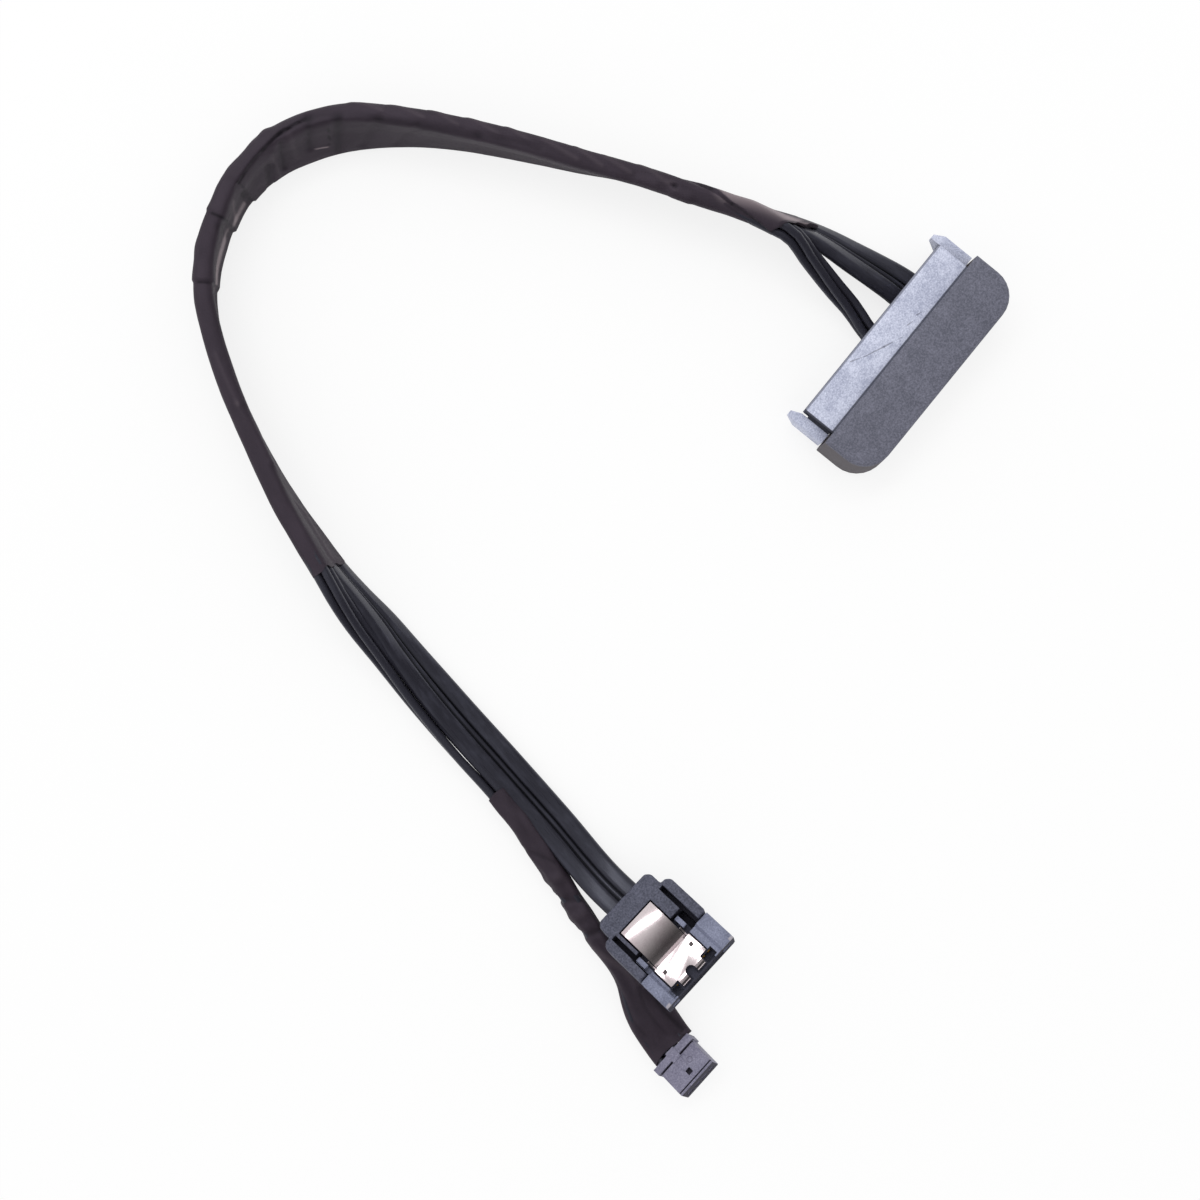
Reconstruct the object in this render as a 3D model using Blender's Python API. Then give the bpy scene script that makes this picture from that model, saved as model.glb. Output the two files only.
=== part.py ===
"""Drive cable: a drive receptacle joined to a latching data plug and a small power plug.

The world origin is the middle of the grip cap's resting face, +Y is the receptacle's mating
direction and +Z is up from the table. Sizes are written in millimetres times MM.
"""

from math import cos, degrees, pi, radians, sin

import bmesh
import bpy
from mathutils import Matrix, Vector

MM = 0.001
FIT_GAP = 0.3 * MM
CUT_OVERRUN = 0.5 * MM

# Contacts, shared by the receptacle and the data plug
CONTACT_PITCH = 1.27 * MM
CONTACT_WIDTH = 0.6 * MM
CONTACT_THICKNESS = 0.25 * MM
CONTACT_RISE = 0.4 * MM
CONTACT_CLEARANCE = 0.1 * MM
CONTACT_REACH = 5.3 * MM
CONTACT_FRONT_GAP = 0.85 * MM
SIGNAL_CONTACTS = 7
POWER_CONTACTS = 15
SEGMENT_SPACING = 6.35 * MM
SLOT_END_MARGIN = 1.05 * MM
KEY_WIDTH = 1.1 * MM

# Receptacle housing
BODY_WIDTH = 36.0 * MM
BODY_HEIGHT = 4.3 * MM
BODY_REACH = 6.15 * MM
BODY_SEAT = 4.0 * MM
BODY_LIFT = 4.7 * MM
BODY_CHAMFER = 0.35 * MM
SLOT_HEIGHT = 1.4 * MM
SLOT_DEPTH = 5.0 * MM
SLOT_LIFT = 1.85 * MM
KEY_DEPTH = 1.1 * MM
ARM_WIDTH = 1.8 * MM
ARM_SLOT = 0.6 * MM
ARM_HEIGHT = 5.0 * MM
ARM_LIFT = 1.8 * MM
ARM_LENGTH = 5.8 * MM
ARM_TIP_LENGTH = 1.8 * MM
ARM_TIP_WIDTH = 0.8 * MM
ARM_TIP_HEIGHT = 1.8 * MM
ARM_WEB_LENGTH = 4.6 * MM
ARM_WEB_HEIGHT = 1.1 * MM
ARM_WEB_LIFT = 0.3 * MM
WEB_OVERLAP = 0.4 * MM

# Grip cap
CAP_WIDTH = 41.9 * MM
CAP_DEPTH = 10.2 * MM
CAP_HEIGHT = 10.0 * MM
CAP_CORNER = 5.6 * MM
CAP_DRAFT = 0.5 * MM
CAP_EDGE = 0.45 * MM
CORNER_STEPS = 7
DATA_ENTRY_X = 9.6 * MM
DATA_ENTRY_LIFT = 2.0 * MM
POWER_ENTRY_X = -1.0 * MM
POWER_ENTRY_LIFT = 2.1 * MM
ENTRY_DEPTH = 2.5 * MM

# Flat data cable and round power wires
CABLE_WIDTH = 7.2 * MM
CABLE_THICKNESS = 2.3 * MM
CABLE_GROOVE = 0.45 * MM
CABLE_GROOVE_WIDTH = 0.9 * MM
WIRE_DIAMETER = 1.5 * MM
WIRE_SPACING = 1.62 * MM
BUNDLE_GAP = 0.25 * MM
POWER_WIRES = 4
CABLE_STEP = 3.4 * MM
WIRE_STEP = 3.6 * MM
TANGENT_STEP = 0.02
ROUTE_DIVISIONS = 16

# Tape wraps
TAPE_THICKNESS = 0.28 * MM
TAPE_CLEARANCE = 0.28 * MM
BRANCH_CLEARANCE = 0.25 * MM
WRAP_SUBDIVISIONS = 2
TAPE_STATIONS_PER_SPAN = 3
BRANCH_STATIONS_PER_SPAN = 3
BRANCH_OUTLINE_SIDES = 12
BRANCH_SQUARENESS = 0.8

# Data plug, in its own frame: +Y is the mating direction, y = 0 the mating face, z = 0 its base
PLUG_WIDTH = 16.2 * MM
PLUG_FRONT_LENGTH = 6.1 * MM
PLUG_FRONT_HEIGHT = 5.3 * MM
PLUG_LENGTH = 18.2 * MM
PLUG_EDGE = 0.45 * MM
RAIL_INNER_X = 5.85 * MM
RAIL_OFFSET = 0.42 * MM
LEDGE_INNER_X = 4.55 * MM
LEDGE_HEIGHT = 4.55 * MM
LATCH_SEAT_HEIGHT = 3.4 * MM
SHROUD_WIDTH = 14.2 * MM
SHROUD_LIFT = 0.8 * MM
SHROUD_HEIGHT = 2.2 * MM
SHROUD_DEPTH = 1.1 * MM
PLUG_SLOT_LIFT = 1.55 * MM
PLUG_SLOT_HEIGHT = 1.2 * MM
PLUG_SLOT_DEPTH = 5.4 * MM
PLUG_SLOT_MARGIN = 1.35 * MM
PLUG_KEY_DEPTH = 0.75 * MM
WINDOW_WIDTH = 2.2 * MM
WINDOW_LENGTH = 1.6 * MM
WINDOW_INSET = 0.35 * MM
WINDOW_OUTER_X = 5.2 * MM
TONGUE_WIDTH = 10.6 * MM
TONGUE_LENGTH = 3.4 * MM
TONGUE_LIFT = 0.9 * MM
TONGUE_TOP = 3.3 * MM
TENON_WIDTH = 8.6 * MM
TENON_LENGTH = 1.6 * MM
TENON_HEIGHT = 1.4 * MM
NUB_WIDTH = 1.0 * MM
NUB_LENGTH = 2.0 * MM
NUB_TOP = 5.2 * MM
NUB_PLACE = 2.2 * MM

# Data plug cover
COVER_HEIGHT = 6.1 * MM
COVER_BACK_WIDTH = 12.6 * MM
COVER_BACK_LENGTH = 3.1 * MM
COVER_FLOOR = 0.6 * MM
COVER_BEVEL = 0.35 * MM
COVER_CORNER = 0.8 * MM
RAIL_SLOT_WIDTH = 0.95 * MM
RAIL_WIDTH = 1.8 * MM
RAIL_SLOT_FLOOR = 2.6 * MM
WELL_WIDTH = 7.8 * MM
WELL_REAR = 14.45 * MM
CABLE_PORT_LIFT = 3.0 * MM

# Press latch
LATCH_THICKNESS = 0.35 * MM
LATCH_OFFSET = 0.83 * MM
LATCH_FOLD_Y = -0.85 * MM
LATCH_PLATE_Z = 4.75 * MM
LATCH_PLATE_WIDTH = 8.5 * MM
LATCH_PLATE_END = -5.9 * MM
LATCH_TAB_DROP = 1.3 * MM
LATCH_SHOULDER_Y = -2.0 * MM
LATCH_FRONT_WIDTH = 5.4 * MM
LATCH_NOTCH_WIDTH = 1.9 * MM
LATCH_NOTCH_Y = -1.45 * MM
LATCH_DIP = 0.5 * MM
LATCH_DIP_LENGTH = 0.7 * MM
LATCH_PAD_WIDTH = 7.2 * MM
LATCH_PAD_RISE = 1.7 * MM
LATCH_PAD_FALL = 0.3 * MM
LATCH_PAD_LENGTH = 7.5 * MM
LATCH_PAD_STEPS = 8
LATCH_SLIT_WIDTH = 0.15 * MM
LATCH_ARM_WIDTH = 0.3 * MM
LATCH_ARM_END = -7.7 * MM
BARB_LENGTH = 1.0 * MM
BARB_WIDTH = 0.7 * MM
BARB_HEIGHT = 0.4 * MM
BARB_X = 3.2 * MM
BARB_Y = -4.2 * MM

# Power plug, in its own frame like the data plug's
SMALL_WIDTH = 7.8 * MM
SMALL_LENGTH = 5.4 * MM
SMALL_HEIGHT = 4.3 * MM
SMALL_BEVEL = 0.18 * MM
FLANGE_WIDTH = 8.5 * MM
FLANGE_LENGTH = 1.1 * MM
FLANGE_HEIGHT = 4.6 * MM
FLANGE_GROOVE_LENGTH = 0.35 * MM
FLANGE_GROOVE_DEPTH = 0.9 * MM
SMALL_PITCH = 1.75 * MM
CHAMBER_SIZE = 1.3 * MM
CHAMBER_DEPTH = 4.2 * MM
CHAMBER_LIFT = 1.9 * MM
TERMINAL_SIZE = 0.95 * MM
TERMINAL_LENGTH = 3.4 * MM
TERMINAL_WALL = 0.16 * MM
TERMINAL_BORE = 2.6 * MM
TERMINAL_FRONT_GAP = 0.5 * MM
STRIP_REAR_WIDTH = 1.8 * MM
STRIP_FRONT_WIDTH = 1.0 * MM
STRIP_RISE = 0.12 * MM
STRIP_ROOT_OVERHANG = 0.3 * MM
STRIP_END = -2.4 * MM
CATCH_WINDOW = 1.0 * MM
CATCH_WINDOW_DEPTH = 1.1 * MM
COLLAR_GROOVE_Y = -0.6 * MM
COLLAR_GROOVE_LENGTH = 0.25 * MM
COLLAR_GROOVE_DEPTH = 0.45 * MM
SMALL_ENTRY_DEPTH = 0.85 * MM
SMALL_ENTRY_CLEARANCE = 0.2 * MM

# Where the two plugs lie: the point is the middle of the mating face's lower edge
DATA_PLUG_PLACE = (-103.89, -36.06, 8.88)
DATA_PLUG_TURN = (20.0, -11.0, 178.3)
POWER_PLUG_PLACE = (-118.4, -48.35, 4.45)
POWER_PLUG_TURN = (28.0, -3.0, 178.0)

# Routes: x, y, z in millimetres and the roll in degrees of the side that the wires are on,
# from the right-hand side of the travel (0) over the top (90) to the left-hand side (180)
TAPE_ROUTE = (
    (5.1, 32.7, 5.8, 122),
    (2.7, 40.1, 5.9, 110),
    (-0.5, 48.3, 5.8, 98),
    (-4.4, 58.4, 5.7, 90),
    (-8.8, 68.1, 5.8, 84),
    (-13.4, 77.7, 5.9, 77),
    (-18.2, 87.0, 5.9, 71),
    (-23.3, 95.1, 5.9, 65),
    (-29.3, 102.4, 5.8, 60),
    (-35.7, 107.2, 5.8, 61),
    (-42.2, 110.0, 5.9, 67),
    (-49.2, 110.7, 5.9, 73),
    (-56.3, 109.4, 5.9, 78),
    (-62.5, 106.7, 5.8, 83),
    (-67.9, 103.0, 5.7, 87),
    (-72.8, 96.8, 5.7, 90),
    (-77.6, 89.1, 5.7, 91),
    (-81.8, 80.3, 5.7, 86),
    (-85.9, 70.6, 5.9, 77),
    (-90.3, 57.0, 5.9, 64),
)
DATA_START_ROUTE = (
    (9.9, 11.8, 2.5, 163),
    (9.2, 16.7, 3.1, 150),
    (8.4, 21.4, 3.6, 140),
    (7.6, 26.3, 4.0, 130),
)
DATA_LEG_ROUTE = (
    (-90.9, 50.1, 3.9, 54),
    (-91.9, 44.7, 3.4, 44),
    (-92.7, 39.4, 2.9, 34),
    (-94.8, 26.3, 2.2, 18),
    (-97.2, 12.7, 1.9, 10),
    (-99.9, -0.7, 2.0, 9),
)
POWER_START_ROUTE = (
    (0.5, 11.7, 2.3, 180),
    (1.6, 16.0, 3.0, 172),
    (2.0, 20.2, 4.5, 158),
    (2.8, 26.6, 6.9, 136),
)
POWER_LEG_ROUTE = (
    (-93.8, 52.0, 8.5, 57),
    (-95.5, 48.0, 7.1, 50),
    (-97.6, 41.0, 5.0, 34),
    (-99.9, 30.9, 3.0, 18),
    (-101.8, 20.0, 2.4, 8),
    (-103.8, 10.1, 2.2, 0),
    (-106.3, -0.2, 2.2, 0),
    (-108.9, -9.1, 2.2, 0),
    (-111.6, -17.2, 2.2, 0),
    (-114.1, -26.0, 2.2, 0),
    (-116.3, -33.8, 2.2, 0),
)
BRANCH_FIRST_POINT = 5
DATA_LEAD = 4.5 * MM
POWER_LEAD = 0.8 * MM
FAN_POINTS = 2.2

# Pose of the x axis onto +Y, +Y onto +Z and +Z onto +X, for sections extruded across a piece
ACROSS = Matrix(((0, 0, 1, 0), (1, 0, 0, 0), (0, 1, 0, 0), (0, 0, 0, 1)))
# Pose of the x axis kept, +Y onto +Z and +Z onto -Y, for sections extruded along a piece
ALONG = Matrix(((1, 0, 0, 0), (0, 0, -1, 0), (0, 1, 0, 0), (0, 0, 0, 1)))


def clear_scene():
    for item in list(bpy.data.objects):
        bpy.data.objects.remove(item, do_unlink=True)


def material(name, colour, roughness, metallic=0.0):
    made = bpy.data.materials.new(name)
    made.use_nodes = True
    shader = made.node_tree.nodes["Principled BSDF"]
    shader.inputs["Base Color"].default_value = (*colour, 1.0)
    shader.inputs["Roughness"].default_value = roughness
    shader.inputs["Metallic"].default_value = metallic
    return made


def mesh_from(name, shape):
    """Closes a bmesh with its faces pointing out and returns it as a mesh."""
    bmesh.ops.recalc_face_normals(shape, faces=shape.faces)
    mesh = bpy.data.meshes.new(name)
    shape.to_mesh(mesh)
    shape.free()
    return mesh


def place_object(name, data, finish, parent=None):
    made = bpy.data.objects.new(name, data)
    bpy.context.scene.collection.objects.link(made)
    made.parent = parent
    if finish and not data.materials:
        data.materials.append(finish)
    return made


def plug_frame(name, place, turn):
    """An empty at a plug's mating face, which its pieces are parented to."""
    frame = bpy.data.objects.new(name, None)
    bpy.context.scene.collection.objects.link(frame)
    frame.rotation_mode = "YXZ"
    frame.location = Vector(place) * MM
    frame.rotation_euler = [radians(angle) for angle in turn]
    bpy.context.view_layer.update()
    return frame


def prism(shape, outline, depth, pose=None):
    """Adds an outline in the XY plane, extruded along +Z and then posed."""
    corners = [shape.verts.new((x, y, 0)) for x, y in outline]
    base = shape.faces.new(corners)
    lifted = bmesh.ops.extrude_face_region(shape, geom=[base])["geom"]
    raised = [item for item in lifted if isinstance(item, bmesh.types.BMVert)]
    bmesh.ops.translate(shape, verts=raised, vec=(0, 0, depth))
    if pose is not None:
        bmesh.ops.transform(shape, matrix=pose, verts=corners + raised)


def box(shape, low, high):
    """Adds a box between two corners."""
    outline = ((low[0], low[1]), (high[0], low[1]), (high[0], high[1]), (low[0], high[1]))
    prism(shape, outline, high[2] - low[2], Matrix.Translation((0, 0, low[2])))


def boxes_mesh(name, boxes):
    shape = bmesh.new()
    for low, high in boxes:
        box(shape, low, high)
    return mesh_from(name, shape)


def prisms_mesh(name, prisms):
    shape = bmesh.new()
    for outline, depth, pose in prisms:
        prism(shape, outline, depth, pose)
    return mesh_from(name, shape)


def combine(target, operation, tool_mesh):
    """Joins or cuts the target with a hidden tool that shares its parent."""
    tool = place_object(tool_mesh.name, tool_mesh, None, target.parent)
    tool.hide_render = True
    tool.display_type = "WIRE"
    modifier = target.modifiers.new(tool_mesh.name, "BOOLEAN")
    modifier.operation = operation
    modifier.object = tool


def soften(target, width, segments=2):
    modifier = target.modifiers.new("edges", "BEVEL")
    modifier.width = width
    modifier.segments = segments
    modifier.limit_method = "ANGLE"


def arc(centre, radius, start, end, steps):
    """Points of an arc between two angles in degrees."""
    angles = [radians(start + (end - start) * step / steps) for step in range(steps + 1)]
    return [(centre[0] + radius * cos(angle), centre[1] + radius * sin(angle)) for angle in angles]


def mirrored(half):
    """An outline from its right half, which runs from the bottom to the top."""
    return list(half) + [(-x, y) for x, y in reversed(half)]


class Route:
    """A smooth curve through chosen points, with the roll of its section."""

    def __init__(self, points):
        self.points = [Vector((x, y, z, roll)) for x, y, z, roll in points]
        self.slopes = [self._slope(index) for index in range(len(self.points))]

    def _chord(self, index):
        return (self.points[index + 1] - self.points[index]).xyz.length

    def _slope(self, index):
        last = len(self.points) - 1
        if index == 0:
            return (self.points[1] - self.points[0]) / self._chord(0)
        if index == last:
            return (self.points[last] - self.points[last - 1]) / self._chord(last - 1)
        before, after = self._chord(index - 1), self._chord(index)
        slope_before = (self.points[index] - self.points[index - 1]) / before
        slope_after = (self.points[index + 1] - self.points[index]) / after
        return (slope_before * after + slope_after * before) / (before + after)

    def at(self, place):
        """Point in metres and roll in radians at a place counted in route points."""
        index = min(max(int(place), 0), len(self.points) - 2)
        share = place - index
        chord = self._chord(index)
        square, cube = share * share, share * share * share
        value = (
            self.points[index] * (2 * cube - 3 * square + 1)
            + self.slopes[index] * (cube - 2 * square + share) * chord
            + self.points[index + 1] * (3 * square - 2 * cube)
            + self.slopes[index + 1] * (cube - square) * chord
        )
        return value.xyz * MM, radians(value.w)

    def frame(self, place):
        """Point, travel, direction towards the wires, and the section's other direction."""
        centre, roll = self.at(place)
        before = self.at(max(place - TANGENT_STEP, 0))[0]
        after = self.at(min(place + TANGENT_STEP, len(self.points) - 1))[0]
        travel = (after - before).normalized()
        right = travel.cross(Vector((0, 0, 1))).normalized()
        upward = right.cross(travel)
        toward = right * cos(roll) + upward * sin(roll)
        return centre, travel, toward, toward.cross(travel) * -1

    def places(self, step):
        """Places spaced evenly along the length, ends included."""
        count = (len(self.points) - 1) * ROUTE_DIVISIONS
        dense = [index / ROUTE_DIVISIONS for index in range(count + 1)]
        lengths = [0.0]
        for first, second in zip(dense, dense[1:]):
            lengths.append(lengths[-1] + (self.at(second)[0] - self.at(first)[0]).length)
        spaces = round(lengths[-1] / step)
        chosen = []
        index = 0
        for space in range(spaces + 1):
            wanted = lengths[-1] * space / spaces
            while index < count - 1 and lengths[index + 1] < wanted:
                index += 1
            part = (wanted - lengths[index]) / (lengths[index + 1] - lengths[index])
            chosen.append(dense[index] + min(max(part, 0), 1) / ROUTE_DIVISIONS)
        return chosen


def section(frame, outline):
    """Corners of an outline, given towards the wires and across, at a route's frame."""
    centre, _, toward, across = frame
    return [centre + toward * a + across * b for a, b in outline]


def loft(shape, sections, closed=False):
    """Skins sections of equal count; a closed run joins the last section to the first."""
    rings = [[shape.verts.new(point) for point in points] for points in sections]
    loops = []
    for ring in rings:
        loops.append([shape.edges.new((a, b)) for a, b in zip(ring, ring[1:] + ring[:1])])
    pairs = list(zip(loops, loops[1:]))
    if closed:
        pairs.append((loops[-1], loops[0]))
    for first, second in pairs:
        bmesh.ops.bridge_loops(shape, edges=first + second)
    if not closed:
        shape.faces.new(rings[0])
        shape.faces.new(rings[-1])


# Offsets of the cable and the wires from the middle of the wrapped bundle
BUNDLE_WIRE_SIZE = WIRE_SPACING + WIRE_DIAMETER
BUNDLE_WIDTH = CABLE_WIDTH + BUNDLE_GAP + BUNDLE_WIRE_SIZE
CABLE_OFFSET = (CABLE_WIDTH - BUNDLE_WIDTH) / 2
WIRES_OFFSET = (BUNDLE_WIDTH - BUNDLE_WIRE_SIZE) / 2


def offset_points(route, offset):
    """The points of a wrapped route, moved towards the wires in the section."""
    moved = []
    for step in range((len(route.points) - 1) * WRAP_SUBDIVISIONS + 1):
        place = step / WRAP_SUBDIVISIONS
        centre, _, toward, _ = route.frame(place)
        moved.append((*((centre + toward * offset) / MM), degrees(route.at(place)[1])))
    return moved


def straight_entry(frame, depth, lead, lift, roll):
    """Two route points on a plug's axis: one behind its rear face and one inside its port."""
    inside = frame.matrix_world @ Vector((0, -depth, lift)) / MM
    behind = frame.matrix_world @ Vector((0, -depth - lead, lift)) / MM
    return ((*behind, roll), (*inside, roll))


def data_route(data_plug):
    wrapped = offset_points(Route(TAPE_ROUTE), CABLE_OFFSET)
    port_y = (CAP_DEPTH / 2 - ENTRY_DEPTH) / MM
    start = ((DATA_ENTRY_X / MM, port_y, DATA_ENTRY_LIFT / MM, 180),)
    depth = PLUG_LENGTH - ENTRY_DEPTH
    lead = ENTRY_DEPTH + DATA_LEAD
    end = straight_entry(data_plug, depth, lead, CABLE_PORT_LIFT, -DATA_PLUG_TURN[1])
    return Route((*start, *DATA_START_ROUTE, *wrapped, *DATA_LEG_ROUTE, *end))


def power_route(power_plug):
    wrapped = offset_points(Route(TAPE_ROUTE), WIRES_OFFSET)
    port_y = (CAP_DEPTH / 2 - ENTRY_DEPTH) / MM
    start = ((POWER_ENTRY_X / MM, port_y, POWER_ENTRY_LIFT / MM, 180),)
    depth = SMALL_LENGTH + FLANGE_LENGTH - SMALL_ENTRY_DEPTH
    lead = SMALL_ENTRY_DEPTH + POWER_LEAD
    end = straight_entry(power_plug, depth, lead, CHAMBER_LIFT, -POWER_PLUG_TURN[1])
    return Route((*start, *POWER_START_ROUTE, *wrapped, *POWER_LEG_ROUTE, *end))


def fan_share(route, place):
    """How far the wires have spread into one row: 0 as a square bundle, 1 at the plug."""
    last = len(route.points) - 2
    return min(max((place - (last - FAN_POINTS)) / FAN_POINTS, 0), 1)


def eased(share):
    share = min(max(share, 0), 1)
    return share * share * (3 - 2 * share)


def wire_offset(index, share):
    """A wire's place in the section: a square bundle that first widens and then flattens."""
    spread, sink = eased(share * 1.6), eased(share * 1.8 - 0.8)
    half = WIRE_SPACING / 2
    side = -1 if index < POWER_WIRES / 2 else 1
    level = -1 if index in (0, POWER_WIRES - 1) else 1
    row = (index - (POWER_WIRES - 1) / 2) * SMALL_PITCH
    return (side * half * (1 - spread) + row * spread, level * half * (1 - sink))


def cable_outline():
    """Twin-lobe section: two flat-topped lobes with a groove between them on both faces."""
    half, top = CABLE_WIDTH / 2, CABLE_THICKNESS / 2
    groove = CABLE_GROOVE_WIDTH / 2
    upper = [
        (half, top * 0.35),
        (half - top * 0.7, top),
        (groove * 2, top),
        (groove, top - CABLE_GROOVE),
    ]
    upper += [(-a, b) for a, b in reversed(upper)]
    return upper + [(-a, -b) for a, b in upper]


def wrap_outline(gap):
    """The wrapped bundle's outline, a gap away from the cable and the wires."""
    cable_end = -BUNDLE_WIDTH / 2 - gap
    wires_end = BUNDLE_WIDTH / 2 + gap
    wires_start = wires_end - BUNDLE_WIRE_SIZE - 2 * gap
    thin = CABLE_THICKNESS / 2 + gap
    thick = BUNDLE_WIRE_SIZE / 2 + gap
    upper = [
        (wires_end, thick * 0.5),
        (wires_end - thick * 0.26, thick * 0.93),
        (wires_end - thick, thick),
        (wires_start + thick * 0.3, thick),
        (wires_start - thin, thin),
        (cable_end + thin, thin),
        (cable_end + thin * 0.25, thin * 0.8),
        (cable_end, thin * 0.35),
    ]
    return upper + [(a, -b) for a, b in reversed(upper)]


def branch_outline(share, gap):
    """The wrapped wires' outline, from a rounded square to a wide, thin fan."""
    square = BUNDLE_WIRE_SIZE / 2 + gap
    fan = ((POWER_WIRES - 1) * SMALL_PITCH + WIRE_DIAMETER) / 2 + gap
    flat = WIRE_DIAMETER / 2 + gap
    spread, sink = eased(share * 1.6), eased(share * 1.8 - 0.8)
    half_width = square + (fan - square) * spread
    half_height = square + (flat - square) * sink
    outline = []
    for side in range(BRANCH_OUTLINE_SIDES):
        angle = 2 * pi * (side + 0.5) / BRANCH_OUTLINE_SIDES
        reach = max(abs(cos(angle)), abs(sin(angle)))
        corner = 1 + BRANCH_SQUARENESS * (1 / reach - 1)
        outline.append((half_width * cos(angle) * corner, half_height * sin(angle) * corner))
    return outline


def sleeve(shape, frames, outlines_inside, outlines_outside):
    """A thin open tube: out along the outside, back along the inside."""
    outside = [section(frame, outline) for frame, outline in zip(frames, outlines_outside)]
    inside = [section(frame, outline) for frame, outline in zip(frames, outlines_inside)]
    loft(shape, outside + inside[::-1], closed=True)


def build_data_cable(route, finish):
    shape = bmesh.new()
    loft(shape, [section(route.frame(place), cable_outline()) for place in route.places(CABLE_STEP)])
    cable = place_object("data_cable", mesh_from("data_cable", shape), finish)
    cable.data.shade_smooth()
    cable.data.set_sharp_from_angle(angle=radians(35))


def build_power_wires(route, finish):
    places = route.places(WIRE_STEP)
    for index in range(POWER_WIRES):
        curve = bpy.data.curves.new(f"power_wire_{index + 1}", "CURVE")
        curve.dimensions = "3D"
        curve.bevel_depth = WIRE_DIAMETER / 2
        curve.bevel_resolution = 2
        curve.use_fill_caps = True
        spline = curve.splines.new("POLY")
        spline.points.add(len(places) - 1)
        for point, place in zip(spline.points, places):
            a, b = wire_offset(index, fan_share(route, place))
            centre = section(route.frame(place), ((a, b),))[0]
            point.co = (*centre, 1)
        place_object(f"power_wire_{index + 1}", curve, finish)


def build_main_tape(finish):
    """Wraps the bundle along the wrapped part's own route."""
    route = Route(TAPE_ROUTE)
    count = (len(TAPE_ROUTE) - 1) * TAPE_STATIONS_PER_SPAN
    frames = [route.frame(station / TAPE_STATIONS_PER_SPAN) for station in range(count + 1)]
    shape = bmesh.new()
    inside = wrap_outline(TAPE_CLEARANCE)
    outside = wrap_outline(TAPE_CLEARANCE + TAPE_THICKNESS)
    sleeve(shape, frames, [inside] * len(frames), [outside] * len(frames))
    tape = place_object("main_tape_wrap", mesh_from("main_tape_wrap", shape), finish)
    tape.data.shade_smooth()
    tape.data.set_sharp_from_angle(angle=radians(50))


def build_branch_tape(power, finish):
    wrapped = (len(TAPE_ROUTE) - 1) * WRAP_SUBDIVISIONS + 1
    first = 1 + len(POWER_START_ROUTE) + wrapped + BRANCH_FIRST_POINT
    last = len(power.points) - 2
    count = (last - first) * BRANCH_STATIONS_PER_SPAN
    places = [first + station / BRANCH_STATIONS_PER_SPAN for station in range(count + 1)]
    frames = [power.frame(place) for place in places]
    shares = [fan_share(power, place) for place in places]
    inside = [branch_outline(share, BRANCH_CLEARANCE) for share in shares]
    outside = [branch_outline(share, BRANCH_CLEARANCE + TAPE_THICKNESS) for share in shares]
    shape = bmesh.new()
    sleeve(shape, frames, inside, outside)
    tape = place_object("branch_tape_wrap", mesh_from("branch_tape_wrap", shape), finish)
    tape.data.shade_smooth()
    tape.data.set_sharp_from_angle(angle=radians(50))


def contact_mesh(name, mating_y, floor_z):
    """A spring contact: a flat strip that rises to a rounded bump behind the mating face."""
    front = mating_y - CONTACT_FRONT_GAP
    rear = front - CONTACT_REACH
    low = floor_z + CONTACT_CLEARANCE
    high = low + CONTACT_THICKNESS
    bump = front - 1.1 * MM
    heel = front - 2.2 * MM
    outline = (
        (rear, low),
        (heel, low),
        (bump, low + CONTACT_RISE),
        (front, low),
        (front, high),
        (bump, high + CONTACT_RISE),
        (heel, high),
        (rear, high),
    )
    pose = Matrix.Translation((-CONTACT_WIDTH / 2, 0, 0)) @ ACROSS
    return prisms_mesh(name, ((outline, CONTACT_WIDTH, pose),))


def contact_groove(x, mating_y, floor_z, slot_floor_z):
    """The box of a contact's groove, from just behind the mating face to the contact's root."""
    half = CONTACT_WIDTH / 2 + CONTACT_CLEARANCE
    front = mating_y - CONTACT_FRONT_GAP + CONTACT_CLEARANCE
    rear = mating_y - CONTACT_FRONT_GAP - CONTACT_REACH - CONTACT_CLEARANCE
    return ((x - half, rear, floor_z), (x + half, front, slot_floor_z + CONTACT_CLEARANCE))


def receptacle_contacts():
    """Name and x of each contact: the signal segment at +X, then the power segment."""
    span = (SIGNAL_CONTACTS + POWER_CONTACTS - 2) * CONTACT_PITCH + SEGMENT_SPACING
    named = []
    for index in range(SIGNAL_CONTACTS):
        named.append((f"drive_signal_contact_{index + 1}", span / 2 - index * CONTACT_PITCH))
    power_start = named[-1][1] - SEGMENT_SPACING
    for index in range(POWER_CONTACTS):
        named.append((f"drive_power_contact_{index + 1}", power_start - index * CONTACT_PITCH))
    return named


def keyed_slot(first_x, last_x, key_at_last, low, height, key_depth):
    """An L-shaped slot outline in X and Z with its key leg hanging at one end."""
    outline = [
        (first_x, low),
        (last_x - KEY_WIDTH, low),
        (last_x - KEY_WIDTH, low - key_depth),
        (last_x, low - key_depth),
        (last_x, low + height),
        (first_x, low + height),
    ]
    if key_at_last:
        return outline
    middle = first_x + last_x
    return [(middle - x, z) for x, z in outline]


def arm_section(middle, y, width, height):
    """Four corners of a guide arm at one distance from the cap."""
    across, upward = Vector((width / 2, 0, 0)), Vector((0, 0, height / 2))
    centre = Vector((middle.x, y, middle.z))
    return [
        centre - across - upward,
        centre + across - upward,
        centre + across + upward,
        centre - across + upward,
    ]


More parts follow.
